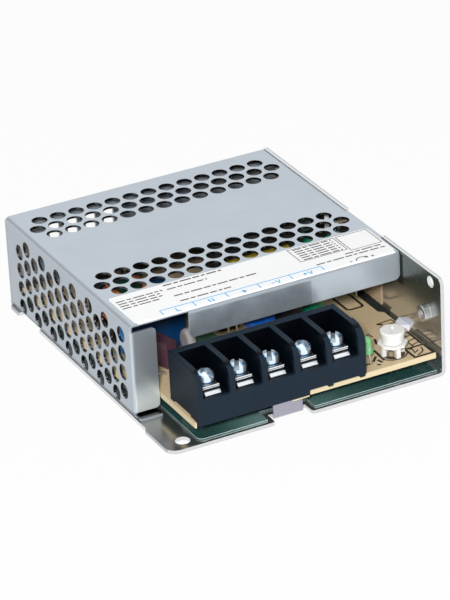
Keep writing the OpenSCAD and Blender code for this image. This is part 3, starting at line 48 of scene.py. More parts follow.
# a link where the value is another node's socket, else a fixed value
def plug(tree, socket, value):
    if isinstance(value, bpy.types.NodeSocket):
        tree.links.new(value, socket)
    else:
        socket.default_value = value


def addNode(tree, kind, values=None, **settings):
    node = tree.nodes.new(kind)
    for key, value in settings.items():
        setattr(node, key, value)
    for key, value in (values or {}).items():
        plug(tree, node.inputs[key], value)
    return node


def mathNode(tree, operation, a, b=None, clamp=False):
    values = {0: a} if b is None else {0: a, 1: b}
    return addNode(tree, "ShaderNodeMath", values, operation=operation, use_clamp=clamp).outputs[0]


def vectorNode(tree, operation, a, b, output=0):
    return addNode(tree, "ShaderNodeVectorMath", {0: a, 1: b}, operation=operation).outputs[output]


def noiseNode(tree, vector, **values):
    return addNode(tree, "ShaderNodeTexNoise", {"Vector": vector, **values}).outputs[0]


# 0 at low and 1 at high, soft between them
def softStep(tree, value, low, high):
    values = {"Value": value, "From Min": low, "From Max": high}
    return addNode(tree, "ShaderNodeMapRange", values, interpolation_type="SMOOTHSTEP").outputs["Result"]


# low where the mask is 0 and high where it is 1
def blendValue(tree, mask, low, high):
    return mathNode(tree, "ADD", mathNode(tree, "MULTIPLY", mask, high - low), low)


def rgba(colour):
    return (*colour, 1.0) if isinstance(colour, tuple) else colour


# the mix node's sockets go by place, because their names repeat
def mixColour(tree, factor, a, b, blend="MIX"):
    values = {0: factor, 6: rgba(a), 7: rgba(b)}
    return addNode(tree, "ShaderNodeMix", values, data_type="RGBA", blend_type=blend).outputs[2]


def surfacePart(tree, label):
    return addNode(tree, "ShaderNodeNewGeometry").outputs[label]


def splitParts(tree, vector):
    return addNode(tree, "ShaderNodeSeparateXYZ", {0: vector}).outputs


# a shared effect, with the sockets that it is given and those of its result
def newGroup(name, inputs, outputs):
    tree = bpy.data.node_groups.new(name, "ShaderNodeTree")
    for label, value in inputs.items():
        kind = "NodeSocketVector" if isinstance(value, tuple) else "NodeSocketFloat"
        tree.interface.new_socket(label, in_out="INPUT", socket_type=kind).default_value = value
    for label in outputs:
        kind = "NodeSocketVector" if label == "Normal" else "NodeSocketFloat"
        tree.interface.new_socket(label, in_out="OUTPUT", socket_type=kind)
    return tree, tree.nodes.new("NodeGroupInput").outputs, tree.nodes.new("NodeGroupOutput").inputs


def groupNode(tree, name, values=None):
    return addNode(tree, "ShaderNodeGroup", values, node_tree=bpy.data.node_groups[name]).outputs


# rolled sheet: fine streaks along the rolling direction, cloudy patches, a small bump
def buildSheetGrain():
    tree, given, result = newGroup("sheetGrain", {"Stretch": (1, 1, 1), "Streak": 0.5, "Cloud": 0.5},
                                   ("Tone", "Gloss", "Height"))
    place = addNode(tree, "ShaderNodeTexCoord").outputs["Object"]
    stretched = vectorNode(tree, "MULTIPLY", place, given["Stretch"])
    streaks = noiseNode(tree, stretched, Scale=1000.0, Detail=4.0, Roughness=0.6)
    clouds = noiseNode(tree, place, Scale=120.0, Detail=3.0, Roughness=0.5)
    middle = 0.5  # of the noise's range
    streak = mathNode(tree, "MULTIPLY", mathNode(tree, "SUBTRACT", streaks, middle), given["Streak"])
    cloud = mathNode(tree, "MULTIPLY", mathNode(tree, "SUBTRACT", clouds, middle), given["Cloud"])
    both = mathNode(tree, "ADD", streak, cloud)
    plug(tree, result["Tone"], mathNode(tree, "ADD", both, middle, True))
    plug(tree, result["Gloss"], mathNode(tree, "SUBTRACT", middle, both, True))
    plug(tree, result["Height"], streaks)


# rounded edges: a bevelled normal and a mask that is 1 along the edges, where the materials paint a highlight
def buildSoftEdge():
    tree, given, result = newGroup("softEdge", {"Radius": 0.0002, "Gain": 4.0}, ("Normal", "Edge"))
    bevel = addNode(tree, "ShaderNodeBevel", {"Radius": given["Radius"]}, samples=6).outputs[0]
    dot = vectorNode(tree, "DOT_PRODUCT", bevel, surfacePart(tree, "Normal"), "Value")
    bend = mathNode(tree, "SUBTRACT", 1.0, dot)
    plug(tree, result["Normal"], bevel)
    plug(tree, result["Edge"], mathNode(tree, "MULTIPLY", bend, given["Gain"], True))


# moulded plastic and lacquer: pebbled height and a slow change of tone
def buildMouldGrain():
    tree, given, result = newGroup("mouldGrain", {"Scale": 3000.0, "Patch": 150.0}, ("Height", "Tone"))
    place = addNode(tree, "ShaderNodeTexCoord").outputs["Object"]
    plug(tree, result["Height"], noiseNode(tree, place, Scale=given["Scale"], Detail=2.0, Roughness=0.6))
    plug(tree, result["Tone"], noiseNode(tree, place, Scale=given["Patch"], Detail=3.0, Roughness=0.55))


# 1 along the middle of the cover's top bends, 0 on its flat faces and in its holes
def buildFoldShade():
    tree, given, result = newGroup("foldShade", {"Wall": -0.0392, "Gain": 2.0}, ("Mask",))
    way = splitParts(tree, surfacePart(tree, "Normal"))
    spot = splitParts(tree, surfacePart(tree, "Position"))
    inside = mathNode(tree, "GREATER_THAN", spot["X"], given["Wall"])
    along = mathNode(tree, "MULTIPLY", mathNode(tree, "ABSOLUTE", way["Y"]), inside)
    across = mathNode(tree, "MAXIMUM", mathNode(tree, "MULTIPLY", way["X"], -1.0), along)
    bend = mathNode(tree, "MULTIPLY", across, way["Z"])
    plug(tree, result["Mask"], mathNode(tree, "MULTIPLY", bend, given["Gain"], True))


# 1 on a can's flat upper end, where the bare metal shows
def buildCanTop():
    tree, given, result = newGroup("canTop", {"Level": 0.97}, ("Mask",))
    way = splitParts(tree, surfacePart(tree, "Normal"))
    plug(tree, result["Mask"], mathNode(tree, "GREATER_THAN", way["Z"], given["Level"]))


# 1 inside a box of the object on faces that don't look along Away, for one place on a piece whose look is set
# apart, most of them painted shade, highlights and reflections
def buildSheetZone():
    vectors = dict.fromkeys(("Low", "High", "Away"), (0, 0, 0))
    tree, given, result = newGroup("sheetZone", {**vectors, "Limit": 0.5}, ("Mask",))
    place = surfacePart(tree, "Position")
    above = vectorNode(tree, "SUBTRACT", place, given["Low"])
    below = vectorNode(tree, "SUBTRACT", given["High"], place)
    least = splitParts(tree, vectorNode(tree, "MINIMUM", above, below))
    smallest = mathNode(tree, "MINIMUM", mathNode(tree, "MINIMUM", least["X"], least["Y"]), least["Z"])
    turn = vectorNode(tree, "DOT_PRODUCT", surfacePart(tree, "Normal"), given["Away"], "Value")
    aside = mathNode(tree, "LESS_THAN", mathNode(tree, "ABSOLUTE", turn), given["Limit"])  # a cosine
    within = mathNode(tree, "GREATER_THAN", smallest, 0.0)
    plug(tree, result["Mask"], mathNode(tree, "MULTIPLY", within, aside))


# painted sheen, a reflection as of a sagging film painted on the flat one: grows from Back to Front and from
# Left to Right, and ends from Stop to Fade
def buildFilmSheen():
    places = dict.fromkeys(("Back", "Front", "Left", "Right", "Stop", "Fade"), 0.0)
    tree, given, result = newGroup("filmSheen", places, ("Mask",))
    spot = splitParts(tree, surfacePart(tree, "Position"))
    forward = softStep(tree, spot["Y"], given["Back"], given["Front"])
    rightward = softStep(tree, spot["X"], given["Left"], given["Right"])
    ending = softStep(tree, spot["X"], given["Fade"], given["Stop"])
    growth = mathNode(tree, "MULTIPLY", forward, rightward)
    plug(tree, result["Mask"], mathNode(tree, "MULTIPLY", growth, ending))


# 0 below Low and 1 above High, soft between them
def buildHeightRamp():
    tree, given, result = newGroup("heightRamp", {"Low": 0.0, "High": 0.0}, ("Mask",))
    spot = splitParts(tree, surfacePart(tree, "Position"))
    plug(tree, result["Mask"], softStep(tree, spot["Z"], given["Low"], given["High"]))


# 0 on faces that look less than From along Way and 1 on those that look more than To along it
def buildFacingShade():
    tree, given, result = newGroup("facingShade", {"Way": (1, 0, 0), "From": 0.0, "To": 1.0}, ("Mask",))
    turn = vectorNode(tree, "DOT_PRODUCT", surfacePart(tree, "Normal"), given["Way"], "Value")
    plug(tree, result["Mask"], softStep(tree, turn, given["From"], given["To"]))


for buildEffect in (buildSheetGrain, buildFacingShade, buildSheetZone, buildHeightRamp, buildFilmSheen,
                    buildSoftEdge, buildMouldGrain, buildFoldShade, buildCanTop):
    buildEffect()
print("shared effects built")


def startMaterial(name, **sockets):
    material = bpy.data.materials.new(name)
    material.use_nodes = True
    tree = material.node_tree
    shader = tree.nodes["Principled BSDF"]
    for key, value in sockets.items():
        shader.inputs[key].default_value = value
    return material, tree, shader


def addBump(tree, shader, height, strength, distance, edgeNormal=None):
    bump = addNode(tree, "ShaderNodeBump", {"Strength": strength, "Distance": distance, "Height": height})
    if edgeNormal is not None:
        plug(tree, bump.inputs["Normal"], edgeNormal)
    plug(tree, shader.inputs["Normal"], bump.outputs[0])


# settings of one place on a piece: a box in mm, a way that its faces don't look, and its colour, metallic and
# roughness, most of them painted shade, highlights and reflections
def zone(low, high, away, colour, metallic=None, roughness=None, **more):
    box = {"Low": tuple(v * mm for v in low), "High": tuple(v * mm for v in high), "Away": away}
    return {"box": box, "colour": colour, "metallic": metallic, "roughness": roughness, **more}


# depths of the bumps, in metres
reliefs = {"sheet": 0.00002, "plastic": 0.00003, "film": 0.00005}
# what a look has where it doesn't say otherwise
sheetBase = {"stretch": (1.0, 1.0, 1.0), "facings": [], "zones": []}
plasticBase = {"scale": 3000.0, "patch": 150.0, "edgeRadius": 0.0002, "edgeShine": 0.3,
               "sockets": {}, "zones": []}


def sheetMaterial(name, look):
    look = {**sheetBase, **look}
    material, tree, shader = startMaterial(name)
    grain = groupNode(tree, "sheetGrain", {"Stretch": look["stretch"], "Streak": look["streak"],
                                           "Cloud": look["cloud"]})
    edges = groupNode(tree, "softEdge", {"Radius": look["edgeRadius"]})
    tone = mixColour(tree, grain["Tone"], look["dark"], look["light"])
    # painted highlight along the edges, in the look's edge colour
    colour = mixColour(tree, mathNode(tree, "MULTIPLY", edges["Edge"], look["edgeShine"]), tone, look["edge"])
    if "fold" in look:
        colour = mixColour(tree, groupNode(tree, "foldShade")["Mask"], colour, look["fold"])
    for facing in look["facings"]:
        mask = groupNode(tree, "facingShade", facing["turn"])["Mask"]
        colour = mixColour(tree, mask, colour, facing["colour"])
    low, high = look["roughness"]
    rough = blendValue(tree, grain["Gloss"], low, high)
    metal = look["metallic"]
    for place in look["zones"]:
        mask = groupNode(tree, "sheetZone", place["box"])["Mask"]
        if "ramp" in place:
            ends = dict(zip(("Low", "High"), (v * mm for v in place["ramp"])))
            mask = mathNode(tree, "MULTIPLY", mask, groupNode(tree, "heightRamp", ends)["Mask"])
        if "patch" in place:
            cloudy = groupNode(tree, "mouldGrain", {"Patch": place["patch"]})["Tone"]
            mask = mathNode(tree, "MULTIPLY", mask, cloudy)
        colour = mixColour(tree, mask, colour, place["colour"], place.get("blend", "MIX"))
        step = mathNode(tree, "MULTIPLY", mask, place["metallic"] - look["metallic"])
        metal = mathNode(tree, "ADD", step, metal)
        step = mathNode(tree, "MULTIPLY", mask, place["roughness"] - (low + high) / 2)
        rough = mathNode(tree, "ADD", step, rough, True)
    for label, value in (("Base Color", colour), ("Metallic", metal), ("Roughness", rough)):
        plug(tree, shader.inputs[label], value)
    addBump(tree, shader, grain["Height"], look["bump"], reliefs["sheet"], edges["Normal"])
    return material


def plasticMaterial(name, look):
    look = {**plasticBase, **look}
    material, tree, shader = startMaterial(name, **look["sockets"])
    grain = groupNode(tree, "mouldGrain", {"Scale": look["scale"], "Patch": look["patch"]})
    edges = groupNode(tree, "softEdge", {"Radius": look["edgeRadius"]})
    tone = mixColour(tree, grain["Tone"], look["dark"], look["light"])
    # painted highlight along the edges, in the look's edge colour or its light tone
    shine = mathNode(tree, "MULTIPLY", edges["Edge"], look["edgeShine"])
    colour = mixColour(tree, shine, tone, look.get("edge", look["light"]))
    if "canTop" in look:
        top = groupNode(tree, "canTop")["Mask"]
        colour = mixColour(tree, top, colour, look["canTop"])
        plug(tree, shader.inputs["Metallic"], top)
    for place in look["zones"]:
        mask = groupNode(tree, "sheetZone", place["box"])["Mask"]
        colour = mixColour(tree, mask, colour, place["colour"])
    plug(tree, shader.inputs["Base Color"], colour)
    plug(tree, shader.inputs["Roughness"], blendValue(tree, grain["Tone"], *look["roughness"]))
    addBump(tree, shader, grain["Height"], look["bump"], reliefs["plastic"], edges["Normal"])
    return material


alongX, alongY, alongZ, noWay = (1, 0, 0), (0, 1, 0), (0, 0, 1), (0, 0, 0)
# in these looks and the plastic ones, edge is the colour of a painted highlight along the edges and edgeShine
# its strength
sheetLooks = {
    # painted highlight on the lance, lighter and less metallic; base's left edge; painted reflection
    # darkening the wall's inner face upwards; painted shade on the ear; board tab; wall's outer face; painted
    # shade beside the lip
    "chassisSteel": {
        "dark": (0.64, 0.65, 0.66), "light": (0.80, 0.81, 0.83), "edge": (0.95, 0.96, 0.98), "edgeShine": 0.8,
        "stretch": (1.0, 0.06, 0.06), "streak": 0.5, "cloud": 0.5, "roughness": (0.09, 0.22), "bump": 0.05,
        "edgeRadius": 0.00025, "metallic": 0.94,
        "zones": [
            zone((37.5, -33.5, 6.7), (40.0, -26.2, 7.9), noWay, (0.84, 0.86, 0.93), 0.15, 0.35),
            zone((-41.2, -48.0, -1.0), (-40.8, 50.0, 1.2), alongY, (0.50, 0.52, 0.55), 0.8, 0.4),
            zone((38.5, -49.4, 8.0), (40.2, -15.0, 28.4), alongY, (0.25, 0.27, 0.245), 0.94, 0.28,
                 ramp=(12, 21)),
            zone((-41.5, -49.7, 0.9), (-31.0, -27.0, 1.2), alongY, (0.66, 0.645, 0.63), 0.94, 0.2,
                 blend="MULTIPLY"),
            zone((-9.5, -46.5, 0.2), (0.0, -45.8, 5.2), alongZ, (0.58, 0.56, 0.65), 0.94, 0.25,
                 blend="MULTIPLY"),
            zone((40.7, -51.0, -1.0), (41.5, 51.0, 29.0), alongY, (0.46, 0.475, 0.49), 0.9, 0.35),
            zone((38.5, -29.7, 18.5), (40.2, -27.0, 27.6), alongY, (0.02, 0.02, 0.02), 0.3, 0.5)]},
    # painted shade along the top bends (fold); painted shade on the foot, darker still at the front under the
    # flap; painted highlight on the foot's front edge; painted shade in the rear wall's inside and in the top
    # vents' rims
    # painted reflection on the flap, darker above and lighter below; painted shade on the left side; blotchy
    # painted reflection on the lip; painted shade in the side vents' rims
    "coverSheet": {
        "dark": (0.45, 0.51, 0.565), "light": (0.54, 0.605, 0.665), "edge": (0.78, 0.83, 0.87),
        "edgeShine": 0.35, "stretch": (0.05, 1.0, 1.0), "streak": 0.35, "cloud": 0.6, "bump": 0.05,
        "roughness": (0.24, 0.36), "edgeRadius": 0.00015, "metallic": 0.55, "fold": (0.30, 0.33, 0.37),
        "zones": [
            zone((-42, -34, 1.2), (-30, 50, 2.3), alongY, (0.34, 0.35, 0.35), 0.7, 0.3),
            zone((-42, -34, 1.2), (-30, -26.2, 2.3), alongY, (0.20, 0.21, 0.215), 1.0, 0.2),
            zone((-42, -29.3, 0.8), (-30, -27.9, 2.1), alongZ, (0.92, 0.94, 0.96), 0.2, 0.3),
            zone((-39.2, 47.0, 3.0), (39.2, 48.7, 27.0), noWay, (0.014, 0.016, 0.022), 0.2, 0.6),
            zone((-38.5, -26.2, 26.8), (38.5, 47.5, 28.08), alongZ, (0.13, 0.14, 0.155), 1.0, 0.25),
            zone((-39.9, -28.5, 2.0), (-32.2, -27.0, 26.9), alongX, (0.30, 0.335, 0.37), 0.6, 0.3,
                 ramp=(4, 14)),
            zone((-39.9, -28.5, 2.0), (-32.2, -27.0, 26.9), alongX, (0.72, 0.78, 0.77), 0.5, 0.3,
                 ramp=(12, 5)),
            zone((-40.8, -27.5, 1.0), (-40.0, 51.0, 27.2), alongY, (0.79, 0.79, 0.80), 0.58, 0.3,
                 blend="MULTIPLY"),
            zone((-24.5, -28.6, 17.2), (13.0, -27.1, 26.8), alongX, (0.34, 0.35, 0.37), 0.6, 0.3,
                 blend="MULTIPLY", patch=130.0),
            zone((-40.5, -26.8, 2.8), (-39.3, 49.0, 26.2), alongX, (0.30, 0.31, 0.33), 1.0, 0.2)]},
    "zincScrew": {
        "dark": (0.30, 0.50, 0.68), "light": (0.84, 0.95, 1.0), "edge": (0.97, 0.99, 1.0), "edgeShine": 0.8,
        "streak": 0.5, "cloud": 0.8, "roughness": (0.08, 0.20), "bump": 0.08, "edgeRadius": 0.00014,
        "metallic": 0.72},
    # painted reflections: dark towards the bay's right wall, blue towards its left wall, at the crown and
    # above the washer
    "headZinc": {
        "dark": (0.62, 0.80, 0.95), "light": (0.94, 0.98, 1.0), "edge": (1.0, 1.0, 1.0), "edgeShine": 0.9,
        "streak": 0.9, "cloud": 0.8, "roughness": (0.06, 0.16), "bump": 0.08, "edgeRadius": 0.00016,
        "metallic": 0.8,
        "facings": [
            {"turn": {"Way": (0.92, -0.2, 0.0), "From": 0.40, "To": 0.74}, "colour": (0.045, 0.085, 0.125)},
            {"turn": {"Way": (-0.75, -0.2, 0.5), "From": 0.68, "To": 0.90}, "colour": (0.20, 0.46, 0.74)},
            {"turn": {"Way": (0.25, -0.45, 0.86), "From": 0.975, "To": 0.995}, "colour": (0.20, 0.42, 0.66)}],
        "zones": [zone((-30.0, -47.4, 15.0), (14.5, -34.0, 15.52), alongZ, (0.03, 0.20, 0.42), 0.9, 0.15)]},
    # painted shade on the contact plates' tops, painted highlight on the washers' edges, painted shade on the
    # washers' tops, and a dark line of painted shade between the washers
    "clampZinc": {
        "dark": (0.74, 0.78, 0.84), "light": (0.92, 0.95, 0.98), "edge": (0.98, 0.99, 1.0), "edgeShine": 0.6,
        "streak": 0.4, "cloud": 0.6, "roughness": (0.16, 0.28), "bump": 0.05, "edgeRadius": 0.00022,
        "metallic": 0.85,
        "zones": [
            zone((-30.0, -47.4, 13.4), (14.5, -37.0, 13.9), alongY, (0.10, 0.11, 0.13), 0.9, 0.3),
            zone((-30.0, -47.4, 13.7), (14.5, -37.0, 14.9), alongZ, (0.90, 0.93, 0.95), 0.15, 0.3),
            zone((-30.0, -47.4, 14.35), (14.5, -37.0, 15.0), alongY, (0.38, 0.40, 0.43), 0.9, 0.3),
            zone((-30.0, -47.4, 14.27), (14.5, -37.0, 14.47), alongZ, (0.05, 0.07, 0.10), 0.9, 0.3)]},
    "tinnedWire": {
        "dark": (0.66, 0.66, 0.64), "light": (0.84, 0.84, 0.82), "edge": (0.9, 0.9, 0.9), "edgeShine": 0.4,
        "streak": 0.6, "cloud": 0.6, "roughness": (0.2, 0.35), "bump": 0.1, "edgeRadius": 0.00006,
        "metallic": 0.9},
    "copperWire": {
        "dark": (0.52, 0.13, 0.03), "light": (0.80, 0.25, 0.07), "edge": (0.85, 0.4, 0.15), "edgeShine": 0.2,
        "streak": 0.4, "cloud": 0.6, "roughness": (0.25, 0.4), "bump": 0.05, "edgeRadius": 0.0001,
        "metallic": 0.45},
}
plasticLooks = {
    # painted shade in the bays' inside, on their rear walls and on the block's left side
    "blockPlastic": {
        "dark": (0.0075, 0.0150, 0.0260), "light": (0.0115, 0.0220, 0.0360), "edge": (0.030, 0.042, 0.058),
        "edgeShine": 0.5, "roughness": (0.40, 0.52), "scale": 4200.0, "bump": 0.12, "edgeRadius": 0.0003,
        "zones": [zone((-31.5, -48.0, 9.5), (16.8, -33.5, 20.7), alongY, (0.0012, 0.0030, 0.0056)),
                  zone((-31.5, -37.2, 9.5), (16.8, -33.2, 20.7), alongX, (0.0008, 0.0012, 0.0026)),
                  zone((-32.5, -49.5, 6.0), (-31.8, -32.5, 21.2), alongY, (0.0035, 0.0085, 0.0160))],
        "sockets": {"Specular IOR Level": 0.12}},
    "whiteNylon": {
        "dark": (0.74, 0.73, 0.70), "light": (0.85, 0.84, 0.81), "roughness": (0.3, 0.42), "bump": 0.06,
        "sockets": {"Subsurface Weight": 0.2, "Subsurface Radius": (0.001, 0.001, 0.0009)}},
    "maroonMoulding": {
        "dark": (0.058, 0.022, 0.036), "light": (0.092, 0.036, 0.055), "roughness": (0.4, 0.55), "bump": 0.2},
    # brighter where the light falls in through the side vents
    "blueCase": {
        "dark": (0.002, 0.024, 0.075), "light": (0.003, 0.042, 0.125), "roughness": (0.35, 0.5), "bump": 0.1,
        "zones": [zone((-33.0, -9.0, 6.0), (-31.45, 0.0, 22.0), alongY, (0.010, 0.30, 0.80))]},
    "blueLacquer": {
        "dark": (0.004, 0.10, 0.52), "light": (0.010, 0.17, 0.74), "roughness": (0.12, 0.22), "bump": 0.06,
        "patch": 300.0, "sockets": {"Coat Weight": 0.6, "Coat Roughness": 0.08}},
    "paleCeramic": {
        "dark": (0.26, 0.24, 0.24), "light": (0.40, 0.36, 0.37), "roughness": (0.3, 0.45), "bump": 0.15},
    "greenLacquer": {
        "dark": (0.028, 0.105, 0.048), "light": (0.055, 0.18, 0.080), "roughness": (0.2, 0.32), "bump": 0.1},
    "greenCoat": {
        "dark": (0.006, 0.05, 0.036), "light": (0.012, 0.085, 0.06), "roughness": (0.35, 0.5), "bump": 0.15},
    "greenSleeve": {
        "dark": (0.004, 0.20, 0.10), "light": (0.008, 0.30, 0.15), "roughness": (0.18, 0.28), "bump": 0.04,
        "canTop": (0.72, 0.72, 0.72), "sockets": {"Coat Weight": 0.4, "Coat Roughness": 0.1}},
    "blackSleeve": {
        "dark": (0.010, 0.011, 0.014), "light": (0.022, 0.024, 0.030), "roughness": (0.25, 0.4), "bump": 0.05,
        "canTop": (0.70, 0.70, 0.71)},
    "greySleeve": {
        "dark": (0.022, 0.025, 0.032), "light": (0.05, 0.055, 0.068), "roughness": (0.2, 0.34), "bump": 0.05},
    "blackMoulding": {
        "dark": (0.010, 0.010, 0.011), "light": (0.020, 0.020, 0.022), "roughness": (0.45, 0.6), "bump": 0.2},
    "greyFerrite": {
        "dark": (0.020, 0.020, 0.021), "light": (0.040, 0.040, 0.042), "roughness": (0.55, 0.7), "bump": 0.35,
        "scale": 5200.0},
    "yellowTape": {
        "dark": (0.50, 0.36, 0.03), "light": (0.66, 0.50, 0.06), "roughness": (0.2, 0.32), "bump": 0.05,
        "edgeRadius": 0.0001},
    "tanSheet": {
        "dark": (0.42, 0.31, 0.20), "light": (0.54, 0.42, 0.29), "roughness": (0.5, 0.65), "bump": 0.25},
    "resistorBody": {
        "dark": (0.20, 0.16, 0.10), "light": (0.32, 0.27, 0.19), "roughness": (0.5, 0.65), "bump": 0.3},
    "labelStock": {
        "dark": (0.93, 0.935, 0.94), "light": (0.97, 0.975, 0.98), "roughness": (0.32, 0.42), "bump": 0.04,
        "edgeRadius": 0.00005},
    "printBlue": {
        "dark": (0.0, 0.38, 0.80), "light": (0.005, 0.46, 0.88), "roughness": (0.4, 0.5), "bump": 0.02,
        "edgeRadius": 0.00001},
    "printGrey": {
        "dark": (0.03, 0.03, 0.033), "light": (0.06, 0.06, 0.065), "roughness": (0.4, 0.5), "bump": 0.02,
        "edgeRadius": 0.00001},
    # a lighter copy of the board's face: painted light on the margin seen through the side vents
    "boardMargin": {
        "dark": (0.74, 0.59, 0.37), "light": (0.90, 0.75, 0.51), "roughness": (0.5, 0.6), "bump": 0.1},
    # painted shadow on the board under the adjuster
    "shadowBrown": {
        "dark": (0.035, 0.024, 0.015), "light": (0.085, 0.062, 0.040), "roughness": (0.5, 0.6), "bump": 0.1,
        "edgeRadius": 0.00001},
    "silkInk": {
        "dark": (0.008, 0.007, 0.006), "light": (0.020, 0.017, 0.014), "roughness": (0.5, 0.6), "bump": 0.1,
        "edgeRadius": 0.00001},
}

materials = {name: sheetMaterial(name, look) for name, look in sheetLooks.items()}
materials.update({name: plasticMaterial(name, look) for name, look in plasticLooks.items()})

# laminate: tan face, cream sawn edges, green underside
boardLook = {"face": ((0.54, 0.41, 0.24), (0.66, 0.52, 0.33)), "edge": (0.68, 0.57, 0.37),
             "under": (0.010, 0.13, 0.085), "grain": {"Scale": 5000.0, "Patch": 900.0}, "roughness": 0.42,
             "bump": 0.15, "level": 0.5}


def boardMaterial(look):
    material, tree, shader = startMaterial("boardLaminate", Roughness=look["roughness"])
    grain = groupNode(tree, "mouldGrain", look["grain"])
    way = splitParts(tree, surfacePart(tree, "Normal"))
    up = mathNode(tree, "GREATER_THAN", way["Z"], look["level"])
    down = mathNode(tree, "LESS_THAN", way["Z"], -look["level"])
    upper = mixColour(tree, up, look["edge"], mixColour(tree, grain["Tone"], *look["face"]))
    plug(tree, shader.inputs["Base Color"], mixColour(tree, down, upper, look["under"]))
    addBump(tree, shader, grain["Height"], look["bump"], reliefs["plastic"])
    return material


materials["boardLaminate"] = boardMaterial(boardLook)

# clear film over the base sheet, whose cut rim catches the light
filmLook = {"tint": (0.026, 0.105, 0.10), "lighten": 1.5, "rim": (0.50, 0.60, 0.60),
            "sheen": (0.15, 0.27, 0.25), "roughness": 0.12, "ior": 1.5, "alpha": (0.42, 0.9), "bump": 0.05,
            "grain": {"Scale": 600.0, "Patch": 80.0},
            "rimZone": {"Low": (-1, -1, 0.00122), "High": (1, 1, 1), "Away": alongZ},
            "spread": {"Back": -0.036, "Front": -0.046, "Left": -0.031, "Right": -0.012,
                       "Stop": -0.010, "Fade": 0.030}}


def filmMaterial(look):
    material, tree, shader = startMaterial("clearFilm", Roughness=look["roughness"], IOR=look["ior"])
    grain = groupNode(tree, "mouldGrain", look["grain"])
    rim = groupNode(tree, "sheetZone", look["rimZone"])["Mask"]
    sheen = groupNode(tree, "filmSheen", look["spread"])["Mask"]
    tint = mixColour(tree, grain["Tone"], look["tint"], tuple(c * look["lighten"] for c in look["tint"]))
    colour = mixColour(tree, rim, mixColour(tree, sheen, tint, look["sheen"]), look["rim"])
    plug(tree, shader.inputs["Base Color"], colour)
    # the painted sheen and the rim's painted highlight also make the film less clear
    sheenAndRim = mathNode(tree, "MAXIMUM", rim, sheen)
    plug(tree, shader.inputs["Alpha"], blendValue(tree, sheenAndRim, *look["alpha"]))
    addBump(tree, shader, grain["Height"], look["bump"], reliefs["film"])
    return material


materials["clearFilm"] = filmMaterial(filmLook)

# tinted lens of the pilot light
lensLook = {"dark": (0.13, 0.50, 0.16), "light": (0.28, 0.70, 0.32), "transmission": 0.25, "roughness": 0.2,
            "grain": {"Scale": 1500.0, "Patch": 400.0}, "bump": 0.05}


def lensMaterial(look):
    material, tree, shader = startMaterial("greenLens", Roughness=look["roughness"])
    shader.inputs["Transmission Weight"].default_value = look["transmission"]
    grain = groupNode(tree, "mouldGrain", look["grain"])
    plug(tree, shader.inputs["Base Color"], mixColour(tree, grain["Tone"], look["dark"], look["light"]))
    addBump(tree, shader, grain["Height"], look["bump"], reliefs["sheet"])
    return material


materials["greenLens"] = lensMaterial(lensLook)

finishes = {
    "chassisSteel": ["chassis"],
    "coverSheet": ["cover"],
    "zincScrew": ["cover_screws", "board_standoffs", "board_screws", "lock_washers", "terminal_screws",
                  "package_clips", "clip_screws"],
    "clampZinc": ["contact_plates", "clamp_washers"],
    "tinnedWire": ["led_leads", "trimmer_terminals", "component_leads"],
    "labelStock": ["label_plate"],
    "clearFilm": ["insulation_film"],
    "boardLaminate": ["circuit_board"],
    "blockPlastic": ["terminal_housing"],
    "greenLens": ["led_lens"],
    "whiteNylon": ["trimmer_base", "trimmer_knob", "board_supports"],
    "maroonMoulding": ["fuse_box"],
    "blueCase": ["x_capacitor", "y_capacitors"],
    "blueLacquer": ["varistor"],
    "paleCeramic": ["ceramic_capacitor"],
    "greenLacquer": ["film_capacitor", "thermistor"],
    "greenSleeve": ["output_capacitors"],
    "blackSleeve": ["aux_capacitor"],
    "greySleeve": ["bulk_capacitor"],
    "blackMoulding": ["choke_base", "bridge_rectifier", "transformer_bobbin", "switching_transistor",
                      "output_rectifier", "optocoupler", "control_chip"],
    "greenCoat": ["choke_core"],
    "greyFerrite": ["transformer_core", "output_inductor_core"],
    "copperWire": ["choke_windings", "output_inductor_coil"],
    "yellowTape": ["transformer_winding"],
    "tanSheet": ["wall_insulator"],
    "resistorBody": ["power_resistors"],
}
for finish, names in finishes.items():
    for name in names:
        mesh = nodes[name].data
        mesh.materials.clear()
        mesh.materials.append(materials[finish])
print("materials built,", len(materials))


def newPiece(name, bm, material, body="supply"):
    mesh = bpy.data.meshes.new(name)
    bmesh.ops.recalc_face_normals(bm, faces=bm.faces)
    bm.to_mesh(mesh)
    bm.free()
    mesh.materials.append(materials[material])
    piece = bpy.data.objects.new(name, mesh)
    bpy.context.scene.collection.objects.link(piece)
    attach(piece, body)
    return piece


# faces between each ring of corners and the next, closed by end faces or, as a loop, into itself
def joinRings(bm, rings, loop=False):
    others = rings[1:] + rings[:1] if loop else rings[1:]
    for a, b in zip(rings, others):
        for k in range(len(a)):
            n = (k + 1) % len(a)
            bm.faces.new((a[k], a[n], b[n], b[k]))
    if not loop:
        bm.faces.new(rings[0][::-1])
        bm.faces.new(rings[-1])


# flat stroke of even width along a line of points, as a thin closed strip
strokeLimits = {"mitre": 0.5, "turnBack": 1e-6}


def addStroke(bm, points, width, z, thick, closed=False):
    pts = [Vector(p) for p in points]
    count = len(pts)
    rows = []
    for i, p in enumerate(pts):
        before = pts[i - 1] if i > 0 or closed else None
        after = pts[(i + 1) % count] if i < count - 1 or closed else None
        a = (p - before).normalized() if before is not None else (after - p).normalized()
        b = (after - p).normalized() if after is not None else a
        square = Vector((-a.y, a.x))
        across = Vector((-(a + b).y, (a + b).x))
        across = across.normalized() if across.length > strokeLimits["turnBack"] else square
        reach = width / 2 / max(strokeLimits["mitre"], abs(across.dot(square)))
        left, right = p + across * reach, p - across * reach
        corners = ((left, z), (left, z + thick), (right, z + thick), (right, z))
        rows.append([bm.verts.new((q.x * mm, q.y * mm, h * mm)) for q, h in corners])
    joinRings(bm, rows, closed)


def sweepAngles(start, end, steps):
    return [math.radians(start + (end - start) * i / steps) for i in range(steps + 1)]


